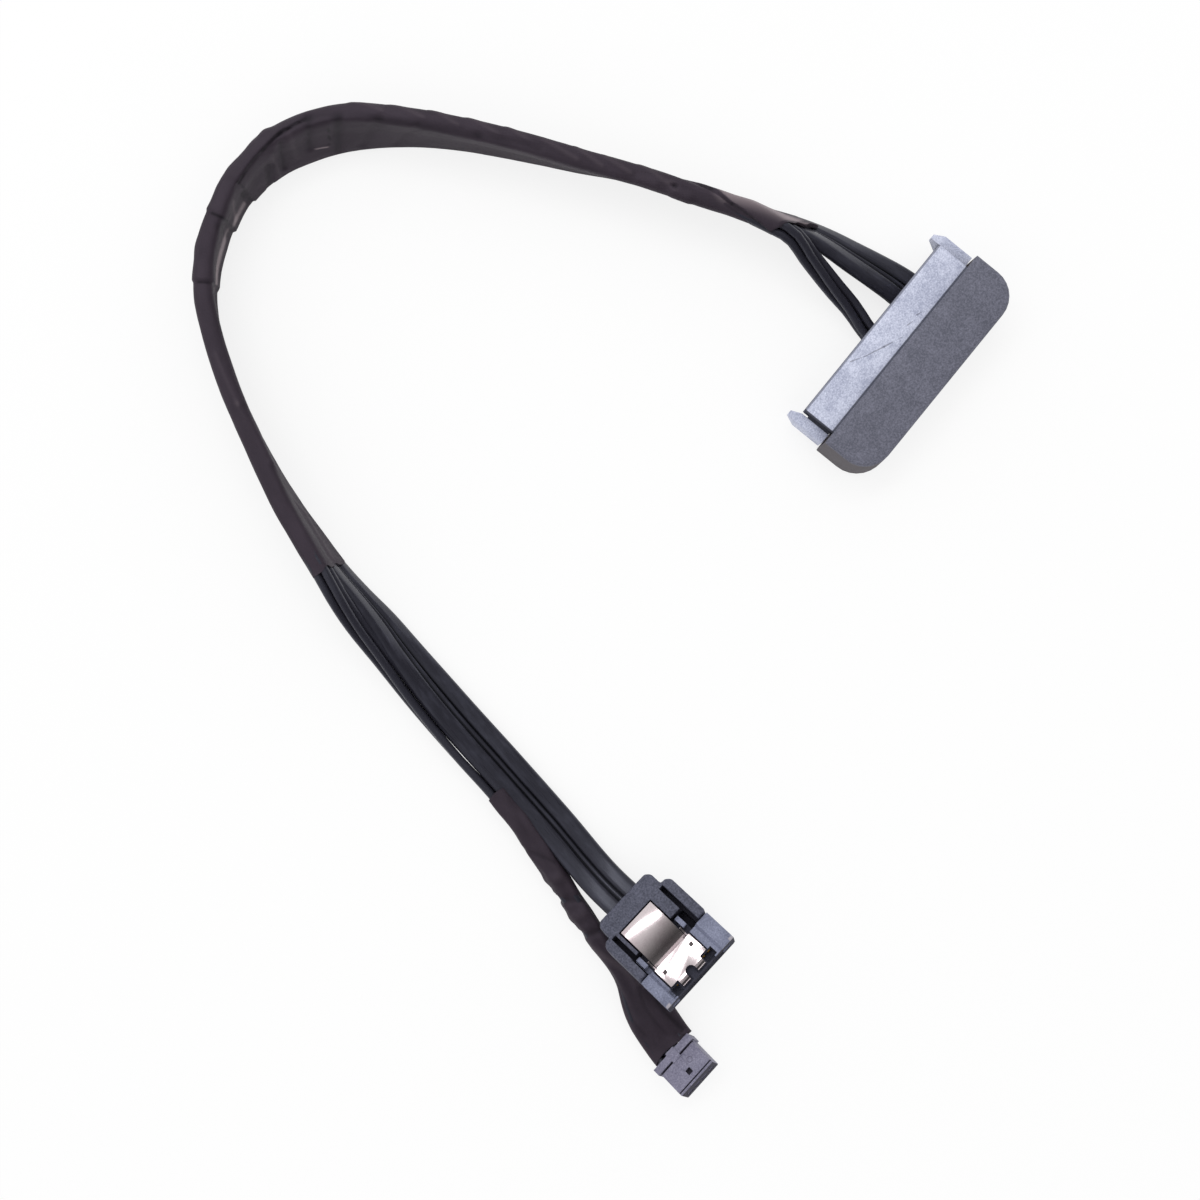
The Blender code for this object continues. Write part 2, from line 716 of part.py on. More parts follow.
def build_receptacle(plastic, metal):
    cap_front = CAP_DEPTH / 2
    mating_y = cap_front + BODY_REACH
    top = BODY_LIFT + BODY_HEIGHT
    body = (
        (cap_front - BODY_SEAT, BODY_LIFT),
        (mating_y - BODY_CHAMFER, BODY_LIFT),
        (mating_y, BODY_LIFT + BODY_CHAMFER),
        (mating_y, top - BODY_CHAMFER),
        (mating_y - BODY_CHAMFER, top),
        (cap_front - BODY_SEAT, top),
    )
    pose = Matrix.Translation((-BODY_WIDTH / 2, 0, 0)) @ ACROSS
    mesh = prisms_mesh("drive_receptacle_housing", ((body, BODY_WIDTH, pose),))
    housing = place_object("drive_receptacle_housing", mesh, plastic)

    arm_root = cap_front + FIT_GAP
    arm_end = arm_root + ARM_LENGTH
    inner = BODY_WIDTH / 2 + ARM_SLOT
    arm_middle = Vector((inner + ARM_WIDTH / 2, 0, ARM_LIFT + ARM_HEIGHT / 2))
    arm_sections = (
        (arm_root, ARM_WIDTH, ARM_HEIGHT),
        (arm_end, ARM_WIDTH, ARM_HEIGHT),
        (arm_end + ARM_TIP_LENGTH, ARM_TIP_WIDTH, ARM_TIP_HEIGHT),
    )
    arms = bmesh.new()
    for side in (-1, 1):
        middle = Vector((side * arm_middle.x, 0, arm_middle.z))
        loft(arms, [arm_section(middle, *section) for section in arm_sections])
    web_low = BODY_LIFT + ARM_WEB_LIFT
    webs = []
    for side in (-1, 1):
        ends = sorted((side * (BODY_WIDTH / 2 - WEB_OVERLAP), side * (inner + WEB_OVERLAP)))
        low = (ends[0], arm_root, web_low)
        high = (ends[1], arm_root + ARM_WEB_LENGTH, web_low + ARM_WEB_HEIGHT)
        webs.append((low, high))
    combine(housing, "UNION", boxes_mesh("arm_webs", webs))
    combine(housing, "UNION", mesh_from("guide_arms", arms))

    contacts = receptacle_contacts()
    signal = [x for name, x in contacts if "signal" in name]
    power = [x for name, x in contacts if "power" in name]
    slot_low = BODY_LIFT + SLOT_LIFT
    slots = []
    for places, key_at_last in ((signal, True), (power, False)):
        first_x, last_x = min(places) - SLOT_END_MARGIN, max(places) + SLOT_END_MARGIN
        outline = keyed_slot(first_x, last_x, key_at_last, slot_low, SLOT_HEIGHT, KEY_DEPTH)
        pose = Matrix.Translation((0, mating_y + CUT_OVERRUN, 0)) @ ALONG
        slots.append((outline, SLOT_DEPTH + CUT_OVERRUN, pose))
    combine(housing, "DIFFERENCE", prisms_mesh("mating_slots", slots))

    groove_floor = slot_low - CONTACT_THICKNESS - 2 * CONTACT_CLEARANCE
    grooves = [contact_groove(x, mating_y, groove_floor, slot_low) for _, x in contacts]
    combine(housing, "DIFFERENCE", boxes_mesh("contact_grooves", grooves))

    shared = contact_mesh("drive_contact", mating_y, groove_floor)
    for name, x in contacts:
        contact = place_object(name, shared, metal)
        contact.location.x = x


def cap_outline(inset):
    """The cap seen from above: a straight front edge and large rounded rear corners."""
    half = CAP_WIDTH / 2 - inset
    front, rear = CAP_DEPTH / 2, inset - CAP_DEPTH / 2
    radius = CAP_CORNER - inset
    right = arc((half - radius, rear + radius), radius, 270, 360, CORNER_STEPS)
    left = arc((radius - half, rear + radius), radius, 180, 270, CORNER_STEPS)
    return [*right, (half, front), (-half, front), *left]


def build_cap(plastic):
    levels = (
        (0, CAP_EDGE),
        (CAP_EDGE, 0),
        (CAP_HEIGHT - CAP_EDGE, CAP_DRAFT),
        (CAP_HEIGHT, CAP_DRAFT + CAP_EDGE),
    )
    sections = [[Vector((x, y, z)) for x, y in cap_outline(inset)] for z, inset in levels]
    shape = bmesh.new()
    loft(shape, sections)
    cap = place_object("drive_connector_cap", mesh_from("drive_connector_cap", shape), plastic)
    cap.data.shade_smooth()
    cap.data.set_sharp_from_angle(angle=radians(30))

    front = CAP_DEPTH / 2
    seat_half = BODY_WIDTH / 2 + FIT_GAP
    seat_low = (-seat_half, front - BODY_SEAT - FIT_GAP, BODY_LIFT - FIT_GAP)
    seat_high = (seat_half, front + CUT_OVERRUN, BODY_LIFT + BODY_HEIGHT + FIT_GAP)
    rear = front - ENTRY_DEPTH - FIT_GAP
    cable_half = CABLE_WIDTH / 2 + 2 * FIT_GAP
    cable_top = CABLE_THICKNESS / 2 + FIT_GAP
    wire_half = BUNDLE_WIRE_SIZE / 2 + FIT_GAP
    ports = [
        (
            (DATA_ENTRY_X - cable_half, rear, DATA_ENTRY_LIFT - cable_top),
            (DATA_ENTRY_X + cable_half, front + CUT_OVERRUN, DATA_ENTRY_LIFT + cable_top),
        ),
        (
            (POWER_ENTRY_X - wire_half, rear, POWER_ENTRY_LIFT - wire_half),
            (POWER_ENTRY_X + wire_half, front + CUT_OVERRUN, POWER_ENTRY_LIFT + wire_half),
        ),
    ]
    combine(cap, "DIFFERENCE", boxes_mesh("cap_pockets", [(seat_low, seat_high), *ports]))


def sided(side, inner, outer):
    """Ends of a span on one side of the latch's centre line, from low x to high x."""
    return sorted((LATCH_OFFSET + side * inner, LATCH_OFFSET + side * outer))


def data_plug_contact_places():
    middle = (SIGNAL_CONTACTS - 1) / 2
    return [(index - middle) * CONTACT_PITCH for index in range(SIGNAL_CONTACTS)]


def build_data_housing(parent, plastic, metal):
    half = PLUG_WIDTH / 2
    outer = (
        (half - PLUG_EDGE, 0),
        (half, PLUG_EDGE),
        (half, PLUG_FRONT_HEIGHT - PLUG_EDGE),
        (half - PLUG_EDGE, PLUG_FRONT_HEIGHT),
    )
    rail = ((RAIL_INNER_X, PLUG_FRONT_HEIGHT), (RAIL_INNER_X - PLUG_EDGE, LEDGE_HEIGHT))
    ledge = ((LEDGE_INNER_X, LEDGE_HEIGHT), (LEDGE_INNER_X, LATCH_SEAT_HEIGHT))
    recess = [(x + RAIL_OFFSET, z) for x, z in rail]
    recess += [(x + LATCH_OFFSET, z) for x, z in mirrored(ledge)]
    recess += [(RAIL_OFFSET - x, z) for x, z in reversed(rail)]
    outline = [*outer, *recess, *[(-x, z) for x, z in reversed(outer)]]
    section_prism = (outline, PLUG_FRONT_LENGTH, ALONG)
    mesh = prisms_mesh("data_plug_housing", (section_prism,))
    housing = place_object("data_plug_housing", mesh, plastic, parent)

    back = -PLUG_FRONT_LENGTH
    tongue_back = back - TONGUE_LENGTH
    tongue_half = TONGUE_WIDTH / 2
    tongue = (
        (LATCH_OFFSET - tongue_half, tongue_back, TONGUE_LIFT),
        (LATCH_OFFSET + tongue_half, back + WEB_OVERLAP, TONGUE_TOP),
    )
    combine(housing, "UNION", boxes_mesh("rear_tongue", (tongue,)))
    tenon = (
        (-TENON_WIDTH / 2, tongue_back - TENON_LENGTH, TONGUE_LIFT + FIT_GAP),
        (TENON_WIDTH / 2, tongue_back + WEB_OVERLAP, TONGUE_LIFT + TENON_HEIGHT),
    )
    nub_front = back - NUB_PLACE + NUB_LENGTH / 2
    nub_inner = tongue_half - NUB_WIDTH
    inset = FIT_GAP / 2
    nubs = []
    for side in (-1, 1):
        ends = sided(side, nub_inner, tongue_half - inset)
        low = (ends[0], nub_front - NUB_LENGTH, TONGUE_TOP - WEB_OVERLAP)
        nubs.append((low, (ends[1], nub_front, NUB_TOP)))
    combine(housing, "UNION", boxes_mesh("tenon_and_nubs", (tenon, *nubs)))

    shroud = (
        (-SHROUD_WIDTH / 2, -SHROUD_DEPTH, SHROUD_LIFT),
        (SHROUD_WIDTH / 2, CUT_OVERRUN, SHROUD_LIFT + SHROUD_HEIGHT),
    )
    combine(housing, "DIFFERENCE", boxes_mesh("shroud", (shroud,)))
    places = data_plug_contact_places()
    outline = keyed_slot(
        min(places) - PLUG_SLOT_MARGIN,
        max(places) + PLUG_SLOT_MARGIN,
        True,
        PLUG_SLOT_LIFT,
        PLUG_SLOT_HEIGHT,
        PLUG_KEY_DEPTH,
    )
    pose = Matrix.Translation((0, CUT_OVERRUN, 0)) @ ALONG
    slot = (outline, PLUG_SLOT_DEPTH + CUT_OVERRUN, pose)
    combine(housing, "DIFFERENCE", prisms_mesh("plug_slot", (slot,)))
    groove_floor = PLUG_SLOT_LIFT - CONTACT_THICKNESS - 2 * CONTACT_CLEARANCE
    grooves = [contact_groove(x, -SHROUD_DEPTH, groove_floor, PLUG_SLOT_LIFT) for x in places]
    combine(housing, "DIFFERENCE", boxes_mesh("plug_grooves", grooves))

    window_floor = PLUG_SLOT_LIFT + PLUG_SLOT_HEIGHT / 2
    windows, tab_slots = [], []
    for side in (-1, 1):
        ends = sided(side, WINDOW_OUTER_X - WINDOW_WIDTH, WINDOW_OUTER_X)
        low = (ends[0], -WINDOW_INSET - WINDOW_LENGTH, window_floor)
        high = (ends[1], -WINDOW_INSET, LEDGE_HEIGHT + CUT_OVERRUN)
        windows.append((low, high))
        tab_inner, tab_outer = LATCH_NOTCH_WIDTH / 2 - FIT_GAP, LATCH_FRONT_WIDTH / 2 + FIT_GAP
        tab_ends = sided(side, tab_inner, tab_outer)
        tab_gap = LATCH_THICKNESS / 2 + FIT_GAP
        low = (tab_ends[0], LATCH_FOLD_Y - tab_gap, latch_tab_bottom() - FIT_GAP)
        high = (tab_ends[1], LATCH_FOLD_Y + tab_gap, LEDGE_HEIGHT + CUT_OVERRUN)
        tab_slots.append((low, high))
    combine(housing, "DIFFERENCE", boxes_mesh("side_windows", windows))
    combine(housing, "DIFFERENCE", boxes_mesh("latch_tab_slots", tab_slots))

    shared = contact_mesh("data_plug_contact", -SHROUD_DEPTH, groove_floor)
    for index, x in enumerate(places):
        contact = place_object(f"data_plug_contact_{index + 1}", shared, metal, parent)
        contact.location.x = x


def latch_tab_bottom():
    return LATCH_PLATE_Z - LATCH_TAB_DROP


def build_data_cover(parent, plastic):
    half, back_half = PLUG_WIDTH / 2, COVER_BACK_WIDTH / 2
    front, rear = -PLUG_FRONT_LENGTH - FIT_GAP, -PLUG_LENGTH
    step = rear + COVER_BACK_LENGTH
    right = (
        (back_half - COVER_CORNER, rear),
        (back_half, rear + COVER_CORNER),
        (back_half, step),
        (half - COVER_CORNER, step),
        (half, step + COVER_CORNER),
        (half, front),
    )
    mesh = prisms_mesh("data_plug_cover", ((mirrored(right), COVER_HEIGHT, None),))
    cover = place_object("data_plug_cover", mesh, plastic, parent)
    soften(cover, COVER_BEVEL)

    above = COVER_HEIGHT + CUT_OVERRUN
    rail_inner = half - RAIL_WIDTH
    slot_inner = rail_inner - RAIL_SLOT_WIDTH
    tongue_room = front - TONGUE_LENGTH
    slots = []
    for side in (-1, 1):
        ends = sorted((side * slot_inner, side * rail_inner))
        low = (ends[0], step + RAIL_SLOT_WIDTH / 2, RAIL_SLOT_FLOOR)
        slots.append((low, (ends[1], front + CUT_OVERRUN, above)))
    combine(cover, "DIFFERENCE", boxes_mesh("rail_slots", slots))
    seat_half = TONGUE_WIDTH / 2 + FIT_GAP
    tongue_seat = (
        (-rail_inner + RAIL_SLOT_WIDTH / 2, tongue_room, COVER_FLOOR),
        (LATCH_OFFSET + seat_half, front + CUT_OVERRUN, above),
    )
    combine(cover, "DIFFERENCE", boxes_mesh("tongue_seat", (tongue_seat,)))
    well_half = WELL_WIDTH / 2
    well = (
        (LATCH_OFFSET - well_half, -WELL_REAR, TONGUE_TOP),
        (LATCH_OFFSET + well_half, front - FIT_GAP, above),
    )
    combine(cover, "DIFFERENCE", boxes_mesh("latch_well", (well,)))
    socket = (
        (-TENON_WIDTH / 2 - FIT_GAP, tongue_room - TENON_LENGTH, TONGUE_LIFT),
        (TENON_WIDTH / 2 + FIT_GAP, front - FIT_GAP, TONGUE_LIFT + TENON_HEIGHT + FIT_GAP),
    )
    port_half = CABLE_WIDTH / 2 + FIT_GAP
    port_top = CABLE_THICKNESS / 2 + FIT_GAP
    port = (
        (-port_half, rear - CUT_OVERRUN, CABLE_PORT_LIFT - port_top),
        (port_half, rear + ENTRY_DEPTH + FIT_GAP, CABLE_PORT_LIFT + port_top),
    )
    combine(cover, "DIFFERENCE", boxes_mesh("tenon_socket_and_port", (socket, port)))


def latch_profile():
    """Middle line of the latch sheet in Y and Z: tab, fold, plate, dip and crowned pad."""
    fold = 2 * LATCH_THICKNESS
    line = [(LATCH_FOLD_Y, latch_tab_bottom())]
    line += arc((LATCH_FOLD_Y - fold, LATCH_PLATE_Z - fold), fold, 0, 90, 3)
    line.append((LATCH_PLATE_END, LATCH_PLATE_Z))
    dip_y = LATCH_PLATE_END - LATCH_DIP_LENGTH
    pad_low = LATCH_PLATE_Z - LATCH_DIP
    for step in range(LATCH_PAD_STEPS + 1):
        share = step / LATCH_PAD_STEPS
        climb = 1 - (1 - share) ** 2.4
        rise = (LATCH_DIP + LATCH_PAD_RISE) * climb - LATCH_PAD_FALL * share**4
        line.append((dip_y - LATCH_PAD_LENGTH * share, pad_low + rise))
    return line


def thickened(line, thickness):
    """The closed outline of a line given a thickness."""
    left, right = [], []
    for index, (y, z) in enumerate(line):
        before = Vector(line[max(index - 1, 0)])
        after = Vector(line[min(index + 1, len(line) - 1)])
        normal = (after - before).normalized().orthogonal() * thickness / 2
        left.append((y + normal.x, z + normal.y))
        right.append((y - normal.x, z - normal.y))
    return left + right[::-1]


def build_latch(parent, metal):
    """The press latch, which turns about its front fold."""
    pivot = bpy.data.objects.new("latch_pivot", None)
    bpy.context.scene.collection.objects.link(pivot)
    pivot.parent = parent
    pivot.location = (LATCH_OFFSET, LATCH_FOLD_Y, LATCH_PLATE_Z)
    half = LATCH_PLATE_WIDTH / 2
    to_pivot = Matrix.Translation((-half, -LATCH_FOLD_Y, -LATCH_PLATE_Z)) @ ACROSS
    sheet = (thickened(latch_profile(), LATCH_THICKNESS), LATCH_PLATE_WIDTH, to_pivot)
    mesh = prisms_mesh("data_plug_latch", (sheet,))
    latch = place_object("data_plug_latch", mesh, metal, pivot)

    low, high = -5 * MM, 5 * MM
    far = LATCH_PLATE_END - LATCH_DIP_LENGTH - LATCH_PAD_LENGTH - CUT_OVERRUN
    near = LATCH_FOLD_Y + CUT_OVERRUN
    pad_half, front_half = LATCH_PAD_WIDTH / 2, LATCH_FRONT_WIDTH / 2
    arm_outer = pad_half + LATCH_SLIT_WIDTH + LATCH_ARM_WIDTH
    trims = []
    for side in (-1, 1):
        cuts = (
            (front_half, half + CUT_OVERRUN, LATCH_SHOULDER_Y, near),
            (pad_half, half + CUT_OVERRUN, far, LATCH_ARM_END),
            (pad_half, pad_half + LATCH_SLIT_WIDTH, LATCH_ARM_END - MM, LATCH_PLATE_END),
            (arm_outer, half + CUT_OVERRUN, LATCH_ARM_END - MM, LATCH_PLATE_END),
        )
        for inner, outer, rear, front in cuts:
            ends = sorted((side * inner, side * outer))
            shift = -LATCH_FOLD_Y
            trims.append(((ends[0], rear + shift, low), (ends[1], front + shift, high)))
    radius = LATCH_NOTCH_WIDTH / 2
    notch = arc((0, LATCH_NOTCH_Y - LATCH_FOLD_Y), radius, 180, 360, 6)
    notch = [*notch, (radius, near - LATCH_FOLD_Y), (-radius, near - LATCH_FOLD_Y)]
    notch_prism = (notch, high - low, Matrix.Translation((0, 0, low)))
    combine(latch, "DIFFERENCE", prisms_mesh("thumb_notch", (notch_prism,)))
    combine(latch, "DIFFERENCE", boxes_mesh("latch_trims_a", trims[0:2] + trims[4:6]))
    combine(latch, "DIFFERENCE", boxes_mesh("latch_trims_b", trims[2:4] + trims[6:8]))
    barb = (
        (BARB_Y - LATCH_FOLD_Y - BARB_LENGTH / 2, -LATCH_THICKNESS / 4),
        (BARB_Y - LATCH_FOLD_Y + BARB_LENGTH / 2, -LATCH_THICKNESS / 4),
        (BARB_Y - LATCH_FOLD_Y - BARB_LENGTH / 2, LATCH_THICKNESS / 2 + BARB_HEIGHT),
    )
    barbs = []
    for side in (-1, 1):
        pose = Matrix.Translation((side * BARB_X - BARB_WIDTH / 2, 0, 0)) @ ACROSS
        barbs.append((barb, BARB_WIDTH, pose))
    combine(latch, "UNION", prisms_mesh("latch_barbs", barbs))


def small_chamber_places():
    middle = (POWER_WIRES - 1) / 2
    return [(index - middle) * SMALL_PITCH for index in range(POWER_WIRES)]


def build_power_plug(parent, plastic, metal):
    half = SMALL_WIDTH / 2
    block = (-half, -SMALL_LENGTH, 0), (half, 0, SMALL_HEIGHT)
    mesh = boxes_mesh("power_plug_housing", (block,))
    housing = place_object("power_plug_housing", mesh, plastic, parent)
    soften(housing, SMALL_BEVEL)
    rear = -SMALL_LENGTH - FLANGE_LENGTH
    flange = (
        (-FLANGE_WIDTH / 2, rear, 0),
        (FLANGE_WIDTH / 2, -SMALL_LENGTH + SMALL_BEVEL, FLANGE_HEIGHT),
    )
    combine(housing, "UNION", boxes_mesh("rear_flange", (flange,)))

    groove_front = -SMALL_LENGTH + SMALL_BEVEL + FLANGE_GROOVE_LENGTH
    grooves = []
    for side in (-1, 1):
        ends = sorted((side * STRIP_REAR_WIDTH / 2, side * (half + CUT_OVERRUN)))
        low = (ends[0], -SMALL_LENGTH + SMALL_BEVEL, SMALL_HEIGHT - FLANGE_GROOVE_DEPTH)
        grooves.append((low, (ends[1], groove_front, FLANGE_HEIGHT + CUT_OVERRUN)))
    collar = (
        (-half - CUT_OVERRUN, COLLAR_GROOVE_Y, SMALL_HEIGHT - COLLAR_GROOVE_DEPTH),
        (half + CUT_OVERRUN, COLLAR_GROOVE_Y + COLLAR_GROOVE_LENGTH, FLANGE_HEIGHT),
    )
    combine(housing, "DIFFERENCE", boxes_mesh("top_grooves", (*grooves, collar)))
    strip = (
        (-STRIP_REAR_WIDTH / 2, -SMALL_LENGTH),
        (STRIP_REAR_WIDTH / 2, -SMALL_LENGTH),
        (STRIP_FRONT_WIDTH / 2, STRIP_END),
        (-STRIP_FRONT_WIDTH / 2, STRIP_END),
    )
    strip_low = SMALL_HEIGHT - STRIP_RISE
    strip_prism = (strip, 2 * STRIP_RISE, Matrix.Translation((0, 0, strip_low)))
    combine(housing, "UNION", prisms_mesh("latch_strip", (strip_prism,)))
    strip_root = (
        (-STRIP_REAR_WIDTH / 2, rear - STRIP_ROOT_OVERHANG, SMALL_HEIGHT - 2 * STRIP_RISE),
        (STRIP_REAR_WIDTH / 2, groove_front + SMALL_BEVEL, FLANGE_HEIGHT + STRIP_RISE),
    )
    combine(housing, "UNION", boxes_mesh("strip_root", (strip_root,)))

    chamber_half = CHAMBER_SIZE / 2
    chambers = []
    for x in small_chamber_places():
        low = (x - chamber_half, -CHAMBER_DEPTH, CHAMBER_LIFT - chamber_half)
        chambers.append((low, (x + chamber_half, CUT_OVERRUN, CHAMBER_LIFT + chamber_half)))
    row_half = ((POWER_WIRES - 1) * SMALL_PITCH + WIRE_DIAMETER) / 2 + SMALL_ENTRY_CLEARANCE
    wire_half = WIRE_DIAMETER / 2 + SMALL_ENTRY_CLEARANCE
    entry = (
        (-row_half, rear - CUT_OVERRUN, CHAMBER_LIFT - wire_half),
        (row_half, rear + SMALL_ENTRY_DEPTH + SMALL_ENTRY_CLEARANCE, CHAMBER_LIFT + wire_half),
    )
    window = (
        (-CATCH_WINDOW / 2, STRIP_END, SMALL_HEIGHT - CATCH_WINDOW_DEPTH),
        (CATCH_WINDOW / 2, STRIP_END + CATCH_WINDOW, FLANGE_HEIGHT),
    )
    combine(housing, "DIFFERENCE", boxes_mesh("chambers_and_entry", (*chambers, entry, window)))

    terminal = terminal_mesh()
    for index, x in enumerate(small_chamber_places()):
        placed = place_object(f"power_plug_terminal_{index + 1}", terminal, metal, parent)
        placed.location = (x, -TERMINAL_FRONT_GAP, CHAMBER_LIFT)


def terminal_mesh():
    """A box socket, open towards the mating face, with its front face's middle as origin."""
    half = TERMINAL_SIZE / 2
    shape = bmesh.new()
    box(shape, (-half, -TERMINAL_LENGTH, -half), (half, 0, half))
    bmesh.ops.recalc_face_normals(shape, faces=shape.faces)
    front = [face for face in shape.faces if face.normal.y > 0.5]
    bmesh.ops.inset_region(shape, faces=front, thickness=TERMINAL_WALL)
    sunk = bmesh.ops.extrude_face_region(shape, geom=front)["geom"]
    corners = [item for item in sunk if isinstance(item, bmesh.types.BMVert)]
    bmesh.ops.translate(shape, verts=corners, vec=(0, -TERMINAL_BORE, 0))
    bmesh.ops.delete(shape, geom=front, context="FACES_ONLY")
    return mesh_from("power_plug_terminal", shape)


def main():
    clear_scene()
    satin = material("satin_black_plastic", (0.10, 0.105, 0.13), 0.38)
    grained = material("grained_black_plastic", (0.045, 0.047, 0.055), 0.62)
    jacket = material("black_cable_jacket", (0.022, 0.022, 0.026), 0.4)
    cloth = material("black_cloth_tape", (0.035, 0.032, 0.034), 0.85)
    steel = material("spring_steel", (0.68, 0.66, 0.65), 0.25, 1.0)
    gold = material("gold_plate", (0.83, 0.62, 0.28), 0.3, 1.0)
    tin = material("tin_plate", (0.55, 0.55, 0.55), 0.35, 1.0)

    data_plug = plug_frame("data_plug", DATA_PLUG_PLACE, DATA_PLUG_TURN)
    power_plug = plug_frame("power_plug", POWER_PLUG_PLACE, POWER_PLUG_TURN)
    build_receptacle(satin, gold)
    build_cap(grained)
    build_data_housing(data_plug, satin, gold)
    build_data_cover(data_plug, grained)
    build_latch(data_plug, steel)
    build_power_plug(power_plug, satin, tin)
    data = data_route(data_plug)
    power = power_route(power_plug)
    build_data_cable(data, jacket)
    build_power_wires(power, jacket)
    build_main_tape(cloth)
    build_branch_tape(power, cloth)


main()
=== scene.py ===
"""Dresses the drive cable: moulded plugs, a flat data lead, thin wires and cloth tape.

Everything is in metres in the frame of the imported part: the origin is the middle of the grip
cap's resting face, +Y is the receptacle's mating direction and +Z is up from the table.
"""

from __future__ import annotations

import logging
from bisect import bisect_right
from collections.abc import Callable, Sequence
from dataclasses import dataclass, field, replace
from enum import Enum
from functools import cached_property
from math import atan, cos, degrees, hypot, pi, radians, sin

import bmesh
import bpy
from mathutils import Euler, Matrix, Vector, noise


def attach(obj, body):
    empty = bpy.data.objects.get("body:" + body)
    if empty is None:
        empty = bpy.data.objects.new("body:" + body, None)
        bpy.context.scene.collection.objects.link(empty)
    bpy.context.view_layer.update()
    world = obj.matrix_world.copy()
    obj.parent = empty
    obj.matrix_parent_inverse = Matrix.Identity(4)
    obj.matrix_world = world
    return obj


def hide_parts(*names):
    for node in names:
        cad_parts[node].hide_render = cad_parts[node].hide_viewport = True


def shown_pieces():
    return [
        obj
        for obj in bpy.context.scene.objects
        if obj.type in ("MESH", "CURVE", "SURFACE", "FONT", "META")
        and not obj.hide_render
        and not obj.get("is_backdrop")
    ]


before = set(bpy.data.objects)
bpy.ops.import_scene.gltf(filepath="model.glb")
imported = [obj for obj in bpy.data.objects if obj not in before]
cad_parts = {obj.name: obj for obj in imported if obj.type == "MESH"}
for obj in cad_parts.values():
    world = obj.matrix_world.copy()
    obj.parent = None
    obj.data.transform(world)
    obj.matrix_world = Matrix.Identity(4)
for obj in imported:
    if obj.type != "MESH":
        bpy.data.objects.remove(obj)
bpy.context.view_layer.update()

LOG = logging.getLogger("drive_cable")
MM = 0.001

Colour = tuple[float, float, float, float]
RoutePoint = tuple[float, float, float, float]
Triple = tuple[float, float, float]
Pair = tuple[float, float]
Outline = list[Pair]

BLACK: Colour = (0.0, 0.0, 0.0, 1.0)
WHITE: Colour = (1.0, 1.0, 1.0, 1.0)


class Body(str, Enum):
    """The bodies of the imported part."""

    CABLE = "cable"
    LATCH = "latch"


class Slot(str, Enum):
    """The record's material slots."""

    RECEPTACLE = "satin_plastic"
    CAP = "grained_plastic"
    PLUG = "satin_plastic"
    SMALL_PLUG = "plug_plastic"
    STEEL = "latch_steel"
    JACKET = "cable_jacket"
    TAPE = "cloth_tape"


def linear(red: int, green: int, blue: int) -> Colour:
    """Turns a display colour into scene-linear RGBA.

    Args:
        red: Red, from 0 to 255.
        green: Green, from 0 to 255.
        blue: Blue, from 0 to 255.

    Returns:
        The colour with an alpha of 1.
    """
    scaled = [value / 255 for value in (red, green, blue)]
    made = [v / 12.92 if v <= 0.04045 else ((v + 0.055) / 1.055) ** 2.4 for v in scaled]
    return (made[0], made[1], made[2], 1.0)


def clamped(share: float) -> float:
    """The share, held to 0 and 1."""
    return min(max(share, 0.0), 1.0)


def eased(share: float) -> float:
    """A smooth step from 0 to 1, as a share goes from one to the other."""
    share = clamped(share)
    return share * share * (3 - 2 * share)


def bump_shape(distance: float, width: float) -> float:
    """A smooth hump: 1 at no distance, 0 from a width on."""
    return 1 - eased(abs(distance) / width)


# Shader graphs


class Value:
    """A number or vector in a shader graph, with arithmetic as Math nodes."""

    def __init__(self, graph: Graph, socket: bpy.types.NodeSocket) -> None:
        """Keeps the graph and the socket that gives the value."""
        self.graph = graph
        self.socket = socket

    def _math(self, operation: str, *inputs: Value | float) -> Value:
        """Adds a Math node to the value's graph."""
        return self.graph.math(operation, *inputs)

    def __add__(self, other: Value | float) -> Value:
        """The sum."""
        return self._math("ADD", self, other)

    def __radd__(self, other: float) -> Value:
        """The sum with a number before."""
        return self._math("ADD", other, self)

    def __sub__(self, other: Value | float) -> Value:
        """The difference."""
        return self._math("SUBTRACT", self, other)

    def __rsub__(self, other: float) -> Value:
        """A number less this value."""
        return self._math("SUBTRACT", other, self)

    def __mul__(self, other: Value | float) -> Value:
        """The product."""
        return self._math("MULTIPLY", self, other)

    def __rmul__(self, other: float) -> Value:
        """The product with a number before."""
        return self._math("MULTIPLY", other, self)

    def __pow__(self, other: Value | float) -> Value:
        """The power."""
        return self._math("POWER", self, other)

    def __neg__(self) -> Value:
        """The value with its sign turned."""
        return self._math("MULTIPLY", self, -1.0)

    def wave(self, period: float) -> Value:
        """A sine of this value, from -1 to 1, that repeats with a period."""
        return self._math("SINE", self * (2 * pi / period))

    def magnitude(self) -> Value:
        """The value without its sign."""
        return self._math("ABSOLUTE", self)

    def ramp(self, low: float, high: float) -> Value:
        """A smooth step of this value.

        Args:
            low: The value that gives 0.
            high: The value that gives 1.

        Returns:
            The step, from 0 to 1.
        """
        made = self.graph.node(
            "ShaderNodeMapRange",
            {"Value": self, "From Min": low, "From Max": high},
            interpolation_type="SMOOTHSTEP",
        )
        return Value(self.graph, made.outputs["Result"])


